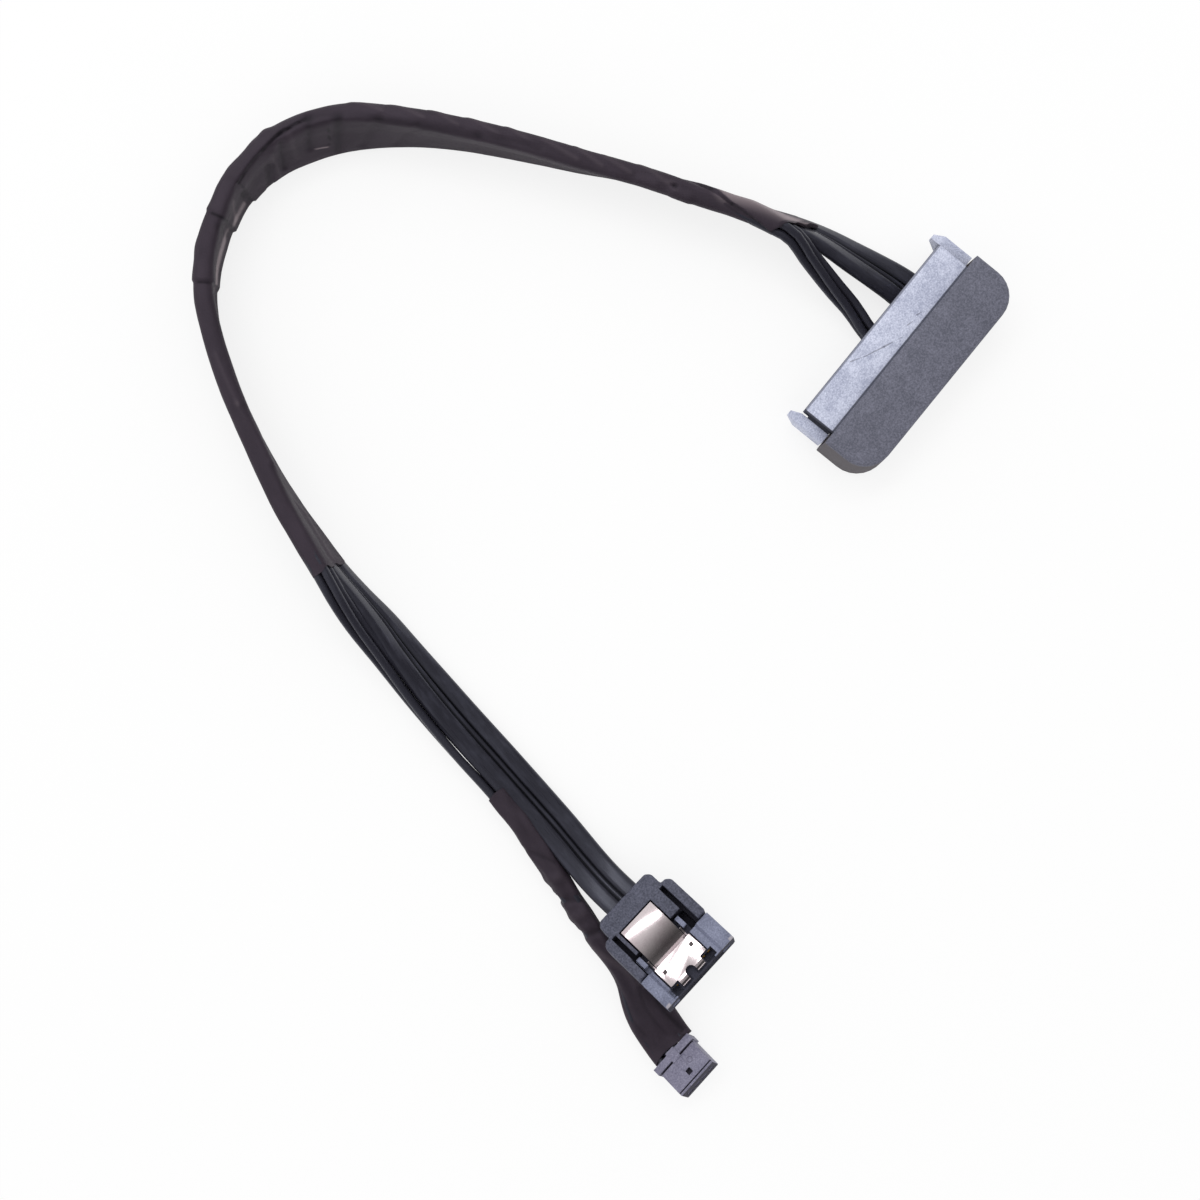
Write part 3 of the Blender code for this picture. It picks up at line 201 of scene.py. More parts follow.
class Graph:
    """The node graph of a material or a world."""

    def __init__(self, owner: bpy.types.Material | bpy.types.World, shader: str) -> None:
        """Turns on an owner's nodes.

        Args:
            owner: The material or world.
            shader: Name of the shader that it starts with.
        """
        owner.use_nodes = True
        self.owner = owner
        self.tree = owner.node_tree
        self.shader = self.tree.nodes[shader]

    @classmethod
    def surface(cls, name: str) -> Graph:
        """Starts a new material."""
        return cls(bpy.data.materials.new(name), "Principled BSDF")

    def node(self, kind: str, inputs: dict[str | int, object], **settings: object) -> bpy.types.Node:
        """Makes a node; every other node-making call goes through this one.

        Args:
            kind: The node's type name.
            inputs: Values, sockets or constants by input name or index.
            settings: Attributes set on the node.

        Returns:
            The new node.
        """
        made = self.tree.nodes.new(kind)
        for name, setting in settings.items():
            setattr(made, name, setting)
        for name, given in inputs.items():
            self.feed(made.inputs[name], given)
        return made

    def feed(self, socket: bpy.types.NodeSocket, given: object) -> None:
        """Links a value to a socket, or sets the socket to a constant.

        Args:
            socket: The input socket.
            given: A Value, an output socket or a constant.
        """
        if isinstance(given, Value):
            given = given.socket
        if isinstance(given, bpy.types.NodeSocket):
            self.tree.links.new(given, socket)
        else:
            socket.default_value = given

    def math(self, operation: str, *inputs: Value | float) -> Value:
        """Adds a Math node with its inputs in order."""
        made = self.node("ShaderNodeMath", dict(enumerate(inputs)), operation=operation)
        return Value(self, made.outputs[0])

    def place(self, stretch: Triple = (1, 1, 1)) -> Value:
        """The object's coordinates in metres.

        Args:
            stretch: Factor along each axis.

        Returns:
            The coordinates.
        """
        source = self.node("ShaderNodeTexCoord", {})
        made = self.node(
            "ShaderNodeVectorMath",
            {0: source.outputs["Object"], 1: stretch},
            operation="MULTIPLY",
        )
        return Value(self, made.outputs[0])

    def frame_place(self, pose: Matrix) -> list[Value]:
        """The object's coordinates in a piece's own frame.

        Args:
            pose: The frame, as a matrix to row coordinates.

        Returns:
            The three coordinates in metres.
        """
        source = self.node("ShaderNodeTexCoord", {})
        placed = []
        for row in list(pose.inverted())[:3]:
            made = self.node(
                "ShaderNodeVectorMath",
                {0: source.outputs["Object"], 1: tuple(row[:3])},
                operation="DOT_PRODUCT",
            )
            placed.append(Value(self, made.outputs["Value"]) + row[3])
        return placed

    def strip_place(self) -> tuple[Value, Value]:
        """Metres along and around a lead or tape.

        Returns:
            The two coordinates.
        """
        source = self.node("ShaderNodeTexCoord", {})
        split = self.node("ShaderNodeSeparateXYZ", {0: source.outputs["UV"]})
        return Value(self, split.outputs[0]), Value(self, split.outputs[1])

    def vector(self, x: Value, y: Value) -> Value:
        """Joins two numbers into a vector."""
        made = self.node("ShaderNodeCombineXYZ", {0: x, 1: y})
        return Value(self, made.outputs[0])

    def noise(self, where: Value, size: float, detail: float, rough: float = 0.5) -> Value:
        """Smooth noise from 0 to 1.

        Args:
            where: Coordinates in metres.
            size: Size of the largest features in metres.
            detail: Number of finer octaves.
            rough: Strength of the finer octaves.

        Returns:
            The noise.
        """
        made = self.node(
            "ShaderNodeTexNoise",
            {"Vector": where, "Scale": 1 / size, "Detail": detail, "Roughness": rough},
        )
        return Value(self, made.outputs["Fac"])

    def attribute(self, name: str) -> Value:
        """A number stored on the mesh's points."""
        made = self.node("ShaderNodeAttribute", {}, attribute_name=name)
        return Value(self, made.outputs["Fac"])

    def blend(self, share: Value | float, first: object, second: object) -> Value:
        """Mixes two colours.

        Args:
            share: 0 for the first, 1 for the second.
            first: A colour or Value.
            second: A colour or Value.

        Returns:
            The mixed colour.
        """
        made = self.node(
            "ShaderNodeMix", {0: share, 6: first, 7: second}, data_type="RGBA", clamp_factor=True
        )
        return Value(self, made.outputs[2])

    def bump(self, height: Value, depth: float, strength: float) -> Value:
        """Shading relief.

        Args:
            height: Height from 0 to 1.
            depth: The height's size in metres.
            strength: How much of it shows.

        Returns:
            The normal.
        """
        made = self.node(
            "ShaderNodeBump", {"Height": height, "Distance": depth, "Strength": strength}
        )
        return Value(self, made.outputs["Normal"])

    def facing(self, aim: Vector) -> Value:
        """How far a world direction points towards an aim.

        Args:
            aim: A unit vector.

        Returns:
            Their dot product.
        """
        source = self.node("ShaderNodeTexCoord", {})
        made = self.node(
            "ShaderNodeVectorMath",
            {0: source.outputs["Generated"], 1: tuple(aim)},
            operation="DOT_PRODUCT",
        )
        return Value(self, made.outputs["Value"])

    def near_line(self, where: Value, start: Sequence[float], end: Sequence[float]) -> Value:
        """Distance in the XY plane to a short line.

        Args:
            where: Coordinates in metres.
            start: One end of the line.
            end: The other end.

        Returns:
            The distance in metres.
        """
        split = self.node("ShaderNodeSeparateXYZ", {0: where})
        x, y = Value(self, split.outputs[0]), Value(self, split.outputs[1])
        run = (end[0] - start[0], end[1] - start[1])
        length = hypot(*run)
        ux, uy = run[0] / length, run[1] / length
        along = (x - start[0]) * ux + (y - start[1]) * uy
        beyond = self.math("MAXIMUM", (along - length / 2).magnitude() - length / 2, 0.0)
        across = (x - start[0]) * -uy + (y - start[1]) * ux
        return (across * across + beyond * beyond) ** 0.5

    def finish(self, **sockets: object) -> bpy.types.Material | bpy.types.World:
        """Feeds the shader.

        Args:
            sockets: Values by input name, with spaces as underscores.

        Returns:
            The material or world.
        """
        for name, given in sockets.items():
            self.feed(self.shader.inputs[name.replace("_", " ")], given)
        return self.owner


# Finishes


@dataclass(frozen=True)
class Finish:
    """A surface finish; each kind builds its own material."""

    name: str
    colour: Colour
    roughness: float

    def build(self) -> bpy.types.Material:
        """Makes the material."""
        raise NotImplementedError


@dataclass(frozen=True)
class PaintedLightBox:
    """A box in a piece's own frame, in millimetres, whose surfaces take a painted shade, highlight or
    reflection.
    """

    low: Triple
    high: Triple
    tone: Colour
    amount: float = 0.85
    soft: float = 0.06
    roughness: float = 0.95

    def share(self, place: Sequence[Value]) -> Value:
        """How far a point lies inside, with the sides of the piece alike.

        Args:
            place: Coordinates in the piece's frame, in metres.

        Returns:
            0 outside, the amount inside.
        """
        values = (place[0].magnitude(), place[1], place[2])
        inside = 1.0
        for value, low, high in zip(values, self.low, self.high):
            inside = value.ramp(*self.edge(low)) * (1 - value.ramp(*self.edge(high))) * inside
        return inside * self.amount

    def edge(self, at: float) -> Pair:
        """The low and high end, in metres, of a soft edge placed in millimetres."""
        return (at - self.soft) * MM, (at + self.soft) * MM


SCRATCH_TONE = linear(88, 88, 100)
GATE_TONE = linear(84, 80, 96)
GATE_RADIUS = 0.48 * MM


@dataclass(frozen=True)
class MouldedPlastic(Finish):
    """Moulded plastic with a fine spark-eroded grain, soft mottling, and boxes of painted shade,
    highlight or reflection.
    """

    light: Colour
    grain: float = 0.22 * MM
    relief: float = 0.02 * MM
    speckle: float = 2.0
    mottle: float = 0.4
    index: float = 1.5
    gloss: float = 0.5
    scratches: tuple[tuple[Pair, Pair], ...] = ()
    painted_light_boxes: tuple[PaintedLightBox, ...] = ()
    gate: Pair | None = None
    pose: Matrix | None = None

    def build(self) -> bpy.types.Material:
        """Makes the material.

        Returns:
            The material.
        """
        graph = Graph.surface(self.name)
        where = graph.place()
        clouds = graph.noise(where, size=5 * MM, detail=3.0, rough=0.6)
        grain = graph.noise(where, size=self.grain, detail=2.0, rough=0.65)
        handled = graph.noise(where, size=1.2 * MM, detail=3.0, rough=0.7)
        share = clouds.ramp(0.3, 0.7) * self.mottle + (grain - 0.5) * self.speckle + handled * 0.5
        colour = graph.blend(share, self.colour, self.light)
        height = grain
        for start, end in self.scratches:
            bent = (graph.noise(where, size=2.2 * MM, detail=1.0) - 0.5) * (0.5 * MM)
            mark = 1 - (graph.near_line(where, start, end) + bent).ramp(0.02 * MM, 0.13 * MM)
            colour = graph.blend(mark * 0.55, colour, SCRATCH_TONE)
            height = height - mark * 2.0
        rough = (handled - 0.5) * 0.16 + self.roughness
        place = graph.frame_place(self.pose or Matrix())
        # Paints shade, a highlight or a reflection inside each box, with its own roughness.
        for patch in self.painted_light_boxes:
            share = patch.share(place)
            colour = graph.blend(share, colour, patch.tone)
            rough = rough + (patch.roughness - rough) * share
        if self.gate:
            x, y = place[0] - self.gate[0] * MM, place[1] - self.gate[1] * MM
            ring = ((x * x + y * y) ** 0.5 - GATE_RADIUS).magnitude()
            mark = 1 - ring.ramp(0.03 * MM, 0.14 * MM)
            colour = graph.blend(mark * 0.5, colour, GATE_TONE)
            height = height - mark * 3.0
        return graph.finish(
            Base_Color=colour,
            Roughness=rough,
            IOR=self.index,
            Specular_IOR_Level=self.gloss,
            Specular_Tint=linear(235, 240, 255),
            Normal=graph.bump(height, depth=self.relief, strength=0.6),
        )


@dataclass(frozen=True)
class Jacket(Finish):
    """Extruded cable jacket: faint lengthwise draw lines, dull scuffs and painted shade in the lead's
    grooves.
    """

    scuff: Colour

    def build(self) -> bpy.types.Material:
        """Makes the material.

        Returns:
            The material.
        """
        graph = Graph.surface(self.name)
        along, around = graph.strip_place()
        lines = graph.noise(graph.vector(along * 0.03, around), size=0.3 * MM, detail=2.0, rough=0.6)
        scuffs = graph.noise(graph.vector(along * 0.25, around), size=1.5 * MM, detail=4.0, rough=0.65)
        colour = graph.blend(scuffs.ramp(0.42, 0.8) * 0.8, self.colour, self.scuff)
        # Painted shade in the lead's grooves.
        colour = graph.blend((-graph.attribute("tone")).ramp(0.0, 1.0), colour, BLACK)
        rough = (scuffs - 0.5) * 0.25 + (lines - 0.5) * 0.15 + self.roughness
        return graph.finish(
            Base_Color=colour,
            Roughness=rough,
            Specular_Tint=linear(232, 236, 255),
            Normal=graph.bump(lines + scuffs * 0.4, depth=0.03 * MM, strength=0.5),
        )


@dataclass(frozen=True)
class ClothTape(Finish):
    """Dull cloth tape: fine threads and soft clouds, with painted highlights on lap edges, ridges and
    the flap, and painted shade in folds and under laps.
    """

    # The colours of the painted highlights and of the painted shade.
    edge: Colour
    fold_shade: Colour
    thread: float = 0.34 * MM
    slant: float = 0.45

    def build(self) -> bpy.types.Material:
        """Makes the material.

        Returns:
            The material.
        """
        graph = Graph.surface(self.name)
        along, around = graph.strip_place()
        tone = graph.attribute("tone")
        drift = (graph.noise(graph.vector(along, around), size=2.5 * MM, detail=2.0) - 0.5) * (0.35 * MM)
        warp = along * cos(self.slant) + around * sin(self.slant) + drift
        weft = around * cos(self.slant) - along * sin(self.slant) + drift
        over = warp.wave(self.thread) * weft.wave(self.thread)
        ribs = weft.wave(self.thread / 2).magnitude()
        fuzz = graph.noise(graph.vector(along, around), size=0.25 * MM, detail=2.0, rough=0.7)
        clouds = graph.noise(graph.vector(along * 0.4, around), size=4 * MM, detail=3.0, rough=0.6)
        height = over * 0.5 + ribs * 0.35 + fuzz * 0.7
        share = over * 0.06 + (fuzz - 0.5) * 0.7 + clouds.ramp(0.3, 0.75) * 0.5
        colour = graph.blend(share, self.colour, self.cloud)
        # Painted highlights where the painted light is above 0, painted shade where it is below.
        colour = graph.blend(tone.ramp(0.0, 1.0), colour, self.edge)
        colour = graph.blend((-tone).ramp(0.0, 1.0), colour, self.fold_shade)
        return graph.finish(
            Base_Color=colour,
            Roughness=self.roughness + fuzz * 0.15,
            Specular_IOR_Level=0.5,
            Specular_Tint=linear(226, 214, 236),
            Normal=graph.bump(height, depth=0.04 * MM, strength=0.45),
        )

    @property
    def cloud(self) -> Colour:
        """The lighter colour that clouds over the cloth."""
        red, green, blue = (channel * 1.75 for channel in self.colour[:3])
        return red, green, blue, 1.0


@dataclass(frozen=True)
class RolledSteel(Finish):
    """Bright rolled sheet with a fine speckle, brushing across the latch and a warm stain."""

    stain: Colour
    speckle: float = 0.16 * MM

    def build(self) -> bpy.types.Material:
        """Makes the material.

        Returns:
            The material.
        """
        graph = Graph.surface(self.name)
        brushed = graph.noise(graph.place((0.12, 1.0, 1.0)), size=0.22 * MM, detail=3.0, rough=0.7)
        specks = graph.noise(graph.place(), size=self.speckle, detail=2.0, rough=0.8)
        clouds = graph.noise(graph.place(), size=3 * MM, detail=3.0, rough=0.6)
        share = clouds.ramp(0.35, 0.75) * 0.5 + (specks - 0.5) * 1.6
        return graph.finish(
            Base_Color=graph.blend(share, self.colour, self.stain),
            Metallic=1.0,
            Roughness=(brushed - 0.5) * 0.1 + specks * 0.08 + self.roughness,
            Normal=graph.bump(brushed + specks, depth=0.0015 * MM, strength=0.5),
        )


@dataclass(frozen=True)
class Plating(Finish):
    """Thin plated metal with a wiped patch where it makes contact."""

    def build(self) -> bpy.types.Material:
        """Makes the material.

        Returns:
            The material.
        """
        graph = Graph.surface(self.name)
        wiped = graph.noise(graph.place((1.0, 0.2, 1.0)), size=0.3 * MM, detail=3.0, rough=0.6)
        dark = tuple(channel * 0.6 for channel in self.colour[:3])
        colour = graph.blend(wiped.ramp(0.35, 0.8) * 0.5, self.colour, (*dark, 1.0))
        return graph.finish(
            Base_Color=colour,
            Metallic=1.0,
            Roughness=wiped * 0.2 + self.roughness,
            Normal=graph.bump(wiped, depth=0.006 * MM, strength=0.4),
        )


@dataclass(frozen=True)
class Ground(Finish):
    """Plain pale matt ground that the camera sees as nearly white, with a faint shadow."""

    paper: float = 0.8

    def build(self) -> bpy.types.Material:
        """Makes the material.

        Returns:
            The material.
        """
        graph = Graph.surface(self.name)
        tooth = graph.noise(graph.place(), size=1.5 * MM, detail=2.0)
        rays = graph.node("ShaderNodeLightPath", {})
        seen = Value(graph, rays.outputs["Is Camera Ray"]) * self.paper
        return graph.finish(
            Base_Color=graph.blend(seen, self.colour, BLACK),
            Roughness=self.roughness,
            Specular_IOR_Level=0.0,
            Emission_Color=graph.blend(seen, BLACK, WHITE),
            Emission_Strength=1.0,
            Normal=graph.bump(tooth, depth=0.02 * MM, strength=0.2),
        )


# Routes of the lead, the wires and the tape

TAPE_ROUTE: tuple[RoutePoint, ...] = (
    (5.1, 32.7, 5.8, 118),
    (2.7, 40.1, 5.9, 108),
    (-0.5, 48.3, 5.8, 104),
    (-4.4, 58.4, 5.7, 103),
    (-9.1, 68.0, 5.8, 97),
    (-13.6, 77.5, 5.9, 91),
    (-18.4, 86.8, 5.9, 87),
    (-23.4, 94.8, 5.9, 80),
    (-29.3, 102.1, 5.8, 71),
    (-35.7, 106.9, 5.8, 70),
    (-42.2, 109.7, 5.9, 74),
    (-49.1, 110.4, 5.9, 82),
    (-56.2, 109.1, 5.9, 88),
    (-62.4, 106.5, 5.8, 92),
    (-67.7, 102.8, 5.7, 96),
    (-72.8, 96.8, 5.7, 99),
    (-77.6, 89.1, 5.7, 98),
    (-81.8, 80.3, 5.7, 94),
    (-85.9, 70.6, 5.9, 86),
    (-90.3, 57.0, 5.9, 75),
)
DATA_START_ROUTE: tuple[RoutePoint, ...] = (
    (9.6, 2.6, 2.0, 180),
    (9.9, 11.8, 2.5, 163),
    (9.2, 16.7, 3.1, 150),
    (8.4, 21.4, 3.6, 140),
    (7.6, 26.3, 4.0, 130),
)
DATA_LEG_ROUTE: tuple[RoutePoint, ...] = (
    (-91.1, 50.1, 4.2, 70),
    (-92.1, 44.7, 3.7, 60),
    (-93.4, 39.4, 3.2, 48),
    (-96.1, 26.3, 2.4, 24),
    (-98.3, 12.7, 1.9, 10),
    (-100.5, -0.7, 2.0, 9),
)
POWER_START_ROUTE: tuple[RoutePoint, ...] = (
    (-1.0, 2.6, 2.1, 180),
    (0.5, 11.7, 2.3, 180),
    (1.6, 16.0, 3.0, 172),
    (2.0, 20.2, 4.5, 158),
    (2.8, 26.6, 6.9, 136),
)
POWER_LEG_ROUTE: tuple[RoutePoint, ...] = (
    (-93.3, 52.0, 8.9, 68),
    (-94.7, 48.0, 7.3, 56),
    (-96.5, 41.0, 5.2, 38),
    (-99.1, 30.9, 3.0, 20),
    (-101.2, 20.0, 2.4, 8),
    (-102.7, 10.1, 2.2, 0),
    (-105.3, -0.2, 2.2, 0),
    (-108.1, -9.1, 2.2, 0),
    (-110.6, -17.2, 2.2, 0),
    (-112.9, -26.0, 2.2, 0),
    (-116.0, -33.8, 2.2, 0),
)
POWER_WIRES = 4
WRAP_SUBDIVISIONS = 2
FAN_POINTS = 2.2
SQUEEZE = 0.16
SQUEEZE_STARTS_OVER = 2.0
SQUEEZE_ENDS_OVER = 1.4
SQUEEZE_ENDS_BEFORE = 1.6
BRANCH_STARTS_AT = 5


@dataclass(frozen=True)
class Station:
    """A point of a route with the directions of its section."""

    centre: Vector
    travel: Vector
    toward: Vector
    across: Vector

    def point(self, a: float, b: float) -> Vector:
        """The point at two distances of the section, towards the wires' side and across."""
        return self.centre + self.toward * a + self.across * b


class Route:
    """A smooth curve through chosen points in millimetres, with the roll of its section.

    Its table of lengths holds some readings between each two points, and its direction is read
    a little before and after each place.
    """

    readings: int = 24
    aside: float = 0.02

    def __init__(self, points: Sequence[RoutePoint]) -> None:
        """Works out the curve's slope at each of its points."""
        self.points = [Vector(point) for point in points]
        self.slopes = [self._slope(index) for index in range(len(self.points))]

    @property
    def last(self) -> int:
        """The last point's index."""
        return len(self.points) - 1

    def _chord(self, index: int) -> float:
        """Straight distance from a point to the next."""
        return (self.points[index + 1] - self.points[index]).xyz.length

    def _slope(self, index: int) -> Vector:
        """The curve's slope at a point, which favours the nearer neighbour.

        Args:
            index: The point's index.

        Returns:
            The change for each millimetre.
        """
        if index == 0:
            return (self.points[1] - self.points[0]) / self._chord(0)
        if index == self.last:
            return (self.points[-1] - self.points[-2]) / self._chord(index - 1)
        before, after = self._chord(index - 1), self._chord(index)
        slope_before = (self.points[index] - self.points[index - 1]) / before
        slope_after = (self.points[index + 1] - self.points[index]) / after
        return (slope_before * after + slope_after * before) / (before + after)

    def at(self, place: float) -> tuple[Vector, float]:
        """Reads the curve.

        Args:
            place: Place counted in route points.

        Returns:
            The point in metres and the roll in radians.
        """
        index = min(max(int(place), 0), self.last - 1)
        share = place - index
        chord = self._chord(index)
        square, cube = share * share, share**3
        value = (
            self.points[index] * (2 * cube - 3 * square + 1)
            + self.slopes[index] * (cube - 2 * square + share) * chord
            + self.points[index + 1] * (3 * square - 2 * cube)
            + self.slopes[index + 1] * (cube - square) * chord
        )
        return value.xyz * MM, radians(value.w)

    def station(self, place: float) -> Station:
        """The section's directions at a place.

        Args:
            place: Place counted in route points.

        Returns:
            The station.
        """
        centre, roll = self.at(place)
        before = self.at(max(place - self.aside, 0.0))[0]
        after = self.at(min(place + self.aside, float(self.last)))[0]
        travel = (after - before).normalized()
        right = travel.cross(Vector((0, 0, 1))).normalized()
        upward = right.cross(travel)
        toward = right * cos(roll) + upward * sin(roll)
        return Station(centre, travel, toward, toward.cross(travel) * -1)

    @cached_property
    def table(self) -> tuple[list[float], list[float]]:
        """Places and the lengths at them.

        Returns:
            The two lists.
        """
        places = [index / self.readings for index in range(self.last * self.readings + 1)]
        lengths = [0.0]
        for first, second in zip(places, places[1:]):
            lengths.append(lengths[-1] + (self.at(second)[0] - self.at(first)[0]).length)
        return places, lengths

    @property
    def length(self) -> float:
        """The whole length in metres."""
        return self.table[1][-1]

    def place_at(self, distance: float) -> float:
        """The place at a distance along the route.

        Args:
            distance: Metres from the first point.

        Returns:
            The place counted in route points.
        """
        places, lengths = self.table
        low = min(max(bisect_right(lengths, distance) - 1, 0), len(lengths) - 2)
        share = (distance - lengths[low]) / (lengths[low + 1] - lengths[low])
        return places[low] + clamped(share) * (places[low + 1] - places[low])

    def distance_at(self, place: float) -> float:
        """The distance along the route at a place.

        Args:
            place: Place counted in route points.

        Returns:
            Metres from the first point.
        """
        places, lengths = self.table
        index = min(int(place * self.readings), len(places) - 2)
        share = (place - places[index]) * self.readings
        return lengths[index] + (lengths[index + 1] - lengths[index]) * share

    def spaced(self, step: float) -> list[Pair]:
        """Evenly spaced places.

        Args:
            step: Spacing in metres.

        Returns:
            Pairs of distance and place.
        """
        count = max(2, round(self.length / step))
        distances = [self.length * index / count for index in range(count + 1)]
        return [(distance, self.place_at(distance)) for distance in distances]


@dataclass(frozen=True)
class PlugPose:
    """Where a plug lies: its place in millimetres and its pitch, roll and yaw in degrees."""

    place: Triple
    turn: Triple

    @cached_property
    def matrix(self) -> Matrix:
        """The matrix from plug to row coordinates."""
        turned = Euler([radians(angle) for angle in self.turn], "YXZ").to_matrix().to_4x4()
        return Matrix.Translation(Vector(self.place) * MM) @ turned

    def point(self, x: float, y: float, z: float) -> Vector:
        """The place in the row frame, in metres, of a point of the plug in millimetres."""
        return self.matrix @ (Vector((x, y, z)) * MM)

    def entry(self, depth: float, lead: float, lift: float) -> tuple[RoutePoint, RoutePoint]:
        """Route points behind the plug and inside its port.

        Args:
            depth: Distance of the inner end behind the mating face.
            lead: Distance between the two points.
            lift: Height over the plug's base.

        Returns:
            The two route points.
        """
        roll = -self.turn[1]
        behind = self.point(0, -depth - lead, lift) / MM
        inside = self.point(0, -depth, lift) / MM
        return (*behind, roll), (*inside, roll)


DATA_PLUG = PlugPose((-103.89, -36.06, 8.88), (20.0, -11.0, 178.3))
POWER_PLUG = PlugPose((-118.4, -48.35, 4.45), (28.0, -3.0, 178.0))


@dataclass(frozen=True)
class Bundle:
    """Sizes of the lead, the wires and the wrap around them."""

    cable_width: float = 7.2 * MM
    cable_thickness: float = 2.3 * MM
    wire: float = 1.5 * MM
    spacing: float = 1.62 * MM
    gap: float = 0.25 * MM
    row_pitch: float = 1.75 * MM

    @property
    def wires_size(self) -> float:
        """Side of the square bundle of wires, in metres."""
        return self.spacing + self.wire

    @property
    def width(self) -> float:
        """Width of the whole bundle, in metres."""
        return self.cable_width + self.gap + self.wires_size

    @property
    def cable_offset(self) -> float:
        """Place of the lead across the wrapped section, in metres."""
        return (self.cable_width - self.width) / 2

    @property
    def wires_offset(self) -> float:
        """Place of the wires across the wrapped section, in metres."""
        return (self.width - self.wires_size) / 2


BUNDLE = Bundle()
WRAP = Route(TAPE_ROUTE)


def held(place: float, before: int) -> float:
    """How far the tape squeezes the lead and the wires that it hides.

    Args:
        place: Place on the lead's or the wires' route.
        before: Number of that route's points before the tape.

    Returns:
        The share of the full section.
    """
    along = (place - before) / WRAP_SUBDIVISIONS
    left = (along - WRAP.last + SQUEEZE_ENDS_BEFORE) / SQUEEZE_ENDS_OVER
    return 1 - SQUEEZE * eased(along / SQUEEZE_STARTS_OVER) * (1 - eased(left))


def wrapped_points(offset: float) -> list[RoutePoint]:
    """The wrapped route's points moved towards the wires.

    Args:
        offset: Distance in metres.

    Returns:
        Route points in millimetres.
    """
    moved = []
    for step in range(WRAP.last * WRAP_SUBDIVISIONS + 1):
        station = WRAP.station(step / WRAP_SUBDIVISIONS)
        centre = station.point(offset, 0) / MM
        moved.append((*centre, degrees(WRAP.at(step / WRAP_SUBDIVISIONS)[1])))
    return moved


DATA = Route(
    (
        *DATA_START_ROUTE,
        *wrapped_points(BUNDLE.cable_offset),
        *DATA_LEG_ROUTE,
        *DATA_PLUG.entry(depth=15.7, lead=7.0, lift=3.0),
    )
)
POWER = Route(
    (
        *POWER_START_ROUTE,
        *wrapped_points(BUNDLE.wires_offset),
        *POWER_LEG_ROUTE,
        *POWER_PLUG.entry(depth=5.65, lead=1.65, lift=1.9),
    )
)


def fan_share(place: float) -> float:
    """How far the wires have spread at a place: 0 as a square bundle, 1 at the plug."""
    return clamped((place - (POWER.last - 1 - FAN_POINTS)) / FAN_POINTS)


def fan_parts(share: float) -> Pair:
    """Sideways spread and sink of the fan, each from 0 to 1, at a share of it."""
    return eased(share * 1.6), eased(share * 1.8 - 0.8)


# The cable's finishes

STRIP_MARKS = (
    ((-6.92 * MM, 10.4 * MM), (-4.6 * MM, 9.0 * MM)),
    ((-4.6 * MM, 9.0 * MM), (-1.4 * MM, 7.6 * MM)),
    ((-1.4 * MM, 7.6 * MM), (1.84 * MM, 6.2 * MM)),
    ((4.0 * MM, 6.8 * MM), (5.0 * MM, 6.5 * MM)),
    ((6.3 * MM, 6.7 * MM), (7.2 * MM, 6.3 * MM)),
)
# Painted shade for pockets, slots and wells, and a painted highlight for lit lips.
POCKET_SHADE = linear(34, 31, 39)
LIP_HIGHLIGHT = linear(176, 170, 176)
RECEPTACLE_PLASTIC = MouldedPlastic(
    "receptacle_plastic",
    linear(160, 165, 188),
    0.5,
    light=linear(224, 228, 246),
    grain=0.26 * MM,
    scratches=STRIP_MARKS,
    painted_light_boxes=(
        # Painted shadow line where the strip meets the raised cap.
        PaintedLightBox((-1, 5.0, 8.4), (18.2, 5.42, 9.4), linear(62, 64, 78)),
        # Painted shade on the strip's front chamfer.
        PaintedLightBox((-1, 10.95, 8.4), (18.1, 11.6, 9.2), linear(104, 106, 120), amount=0.7),
        # Painted shade in the slots between the strip and the guide arms.
        PaintedLightBox((17.85, 5.0, 3.0), (18.62, 11.6, 8.75), POCKET_SHADE),
        # Painted shade on the strip's front face.
        PaintedLightBox((-1, 11.1, 2.0), (17.9, 11.6, 8.6), linear(84, 84, 96)),
    ),
)
CAP_PLASTIC = MouldedPlastic(
    "cap_plastic",
    linear(84, 85, 97),
    0.6,
    light=linear(122, 122, 137),
    grain=0.3 * MM,
    mottle=0.25,
    # Painted warm reflection of the floor on the cap's sides and ends.
    painted_light_boxes=(PaintedLightBox((-1, -6, -1), (22, 6, 9.35), linear(98, 91, 88), amount=0.7, soft=0.15),),
)
COVER_PLASTIC = MouldedPlastic(
    "cover_plastic",
    linear(58, 59, 72),
    0.6,
    light=linear(102, 103, 120),
    grain=0.3 * MM,
    mottle=0.2,
    # Painted shade in the latch's well.
    painted_light_boxes=(PaintedLightBox((-1, -14.95, -1), (6.32, 0, 5.6), POCKET_SHADE),),
    pose=DATA_PLUG.matrix,
)
RAIL_PLASTIC = MouldedPlastic(
    "rail_plastic",
    linear(96, 100, 120),
    0.45,
    light=linear(140, 144, 168),
    grain=0.25 * MM,
    painted_light_boxes=(
        # Painted shade in the hollows under the latch.
        PaintedLightBox((-1, -6.0, -1), (5.45, 1, 4.35), POCKET_SHADE),
        PaintedLightBox((-1, -9.8, -1), (5.2, -6.0, 4.35), POCKET_SHADE),
        # Painted shade on the front face.
        PaintedLightBox((-1, -0.1, -1), (9, 1, 4.85), linear(40, 36, 42)),
        # Painted highlight on the lips at the front top corners.
        PaintedLightBox((7.2, -0.45, 4.7), (9, 1, 6), LIP_HIGHLIGHT, amount=0.8, soft=0.12, roughness=0.4),
    ),
    pose=DATA_PLUG.matrix,
)
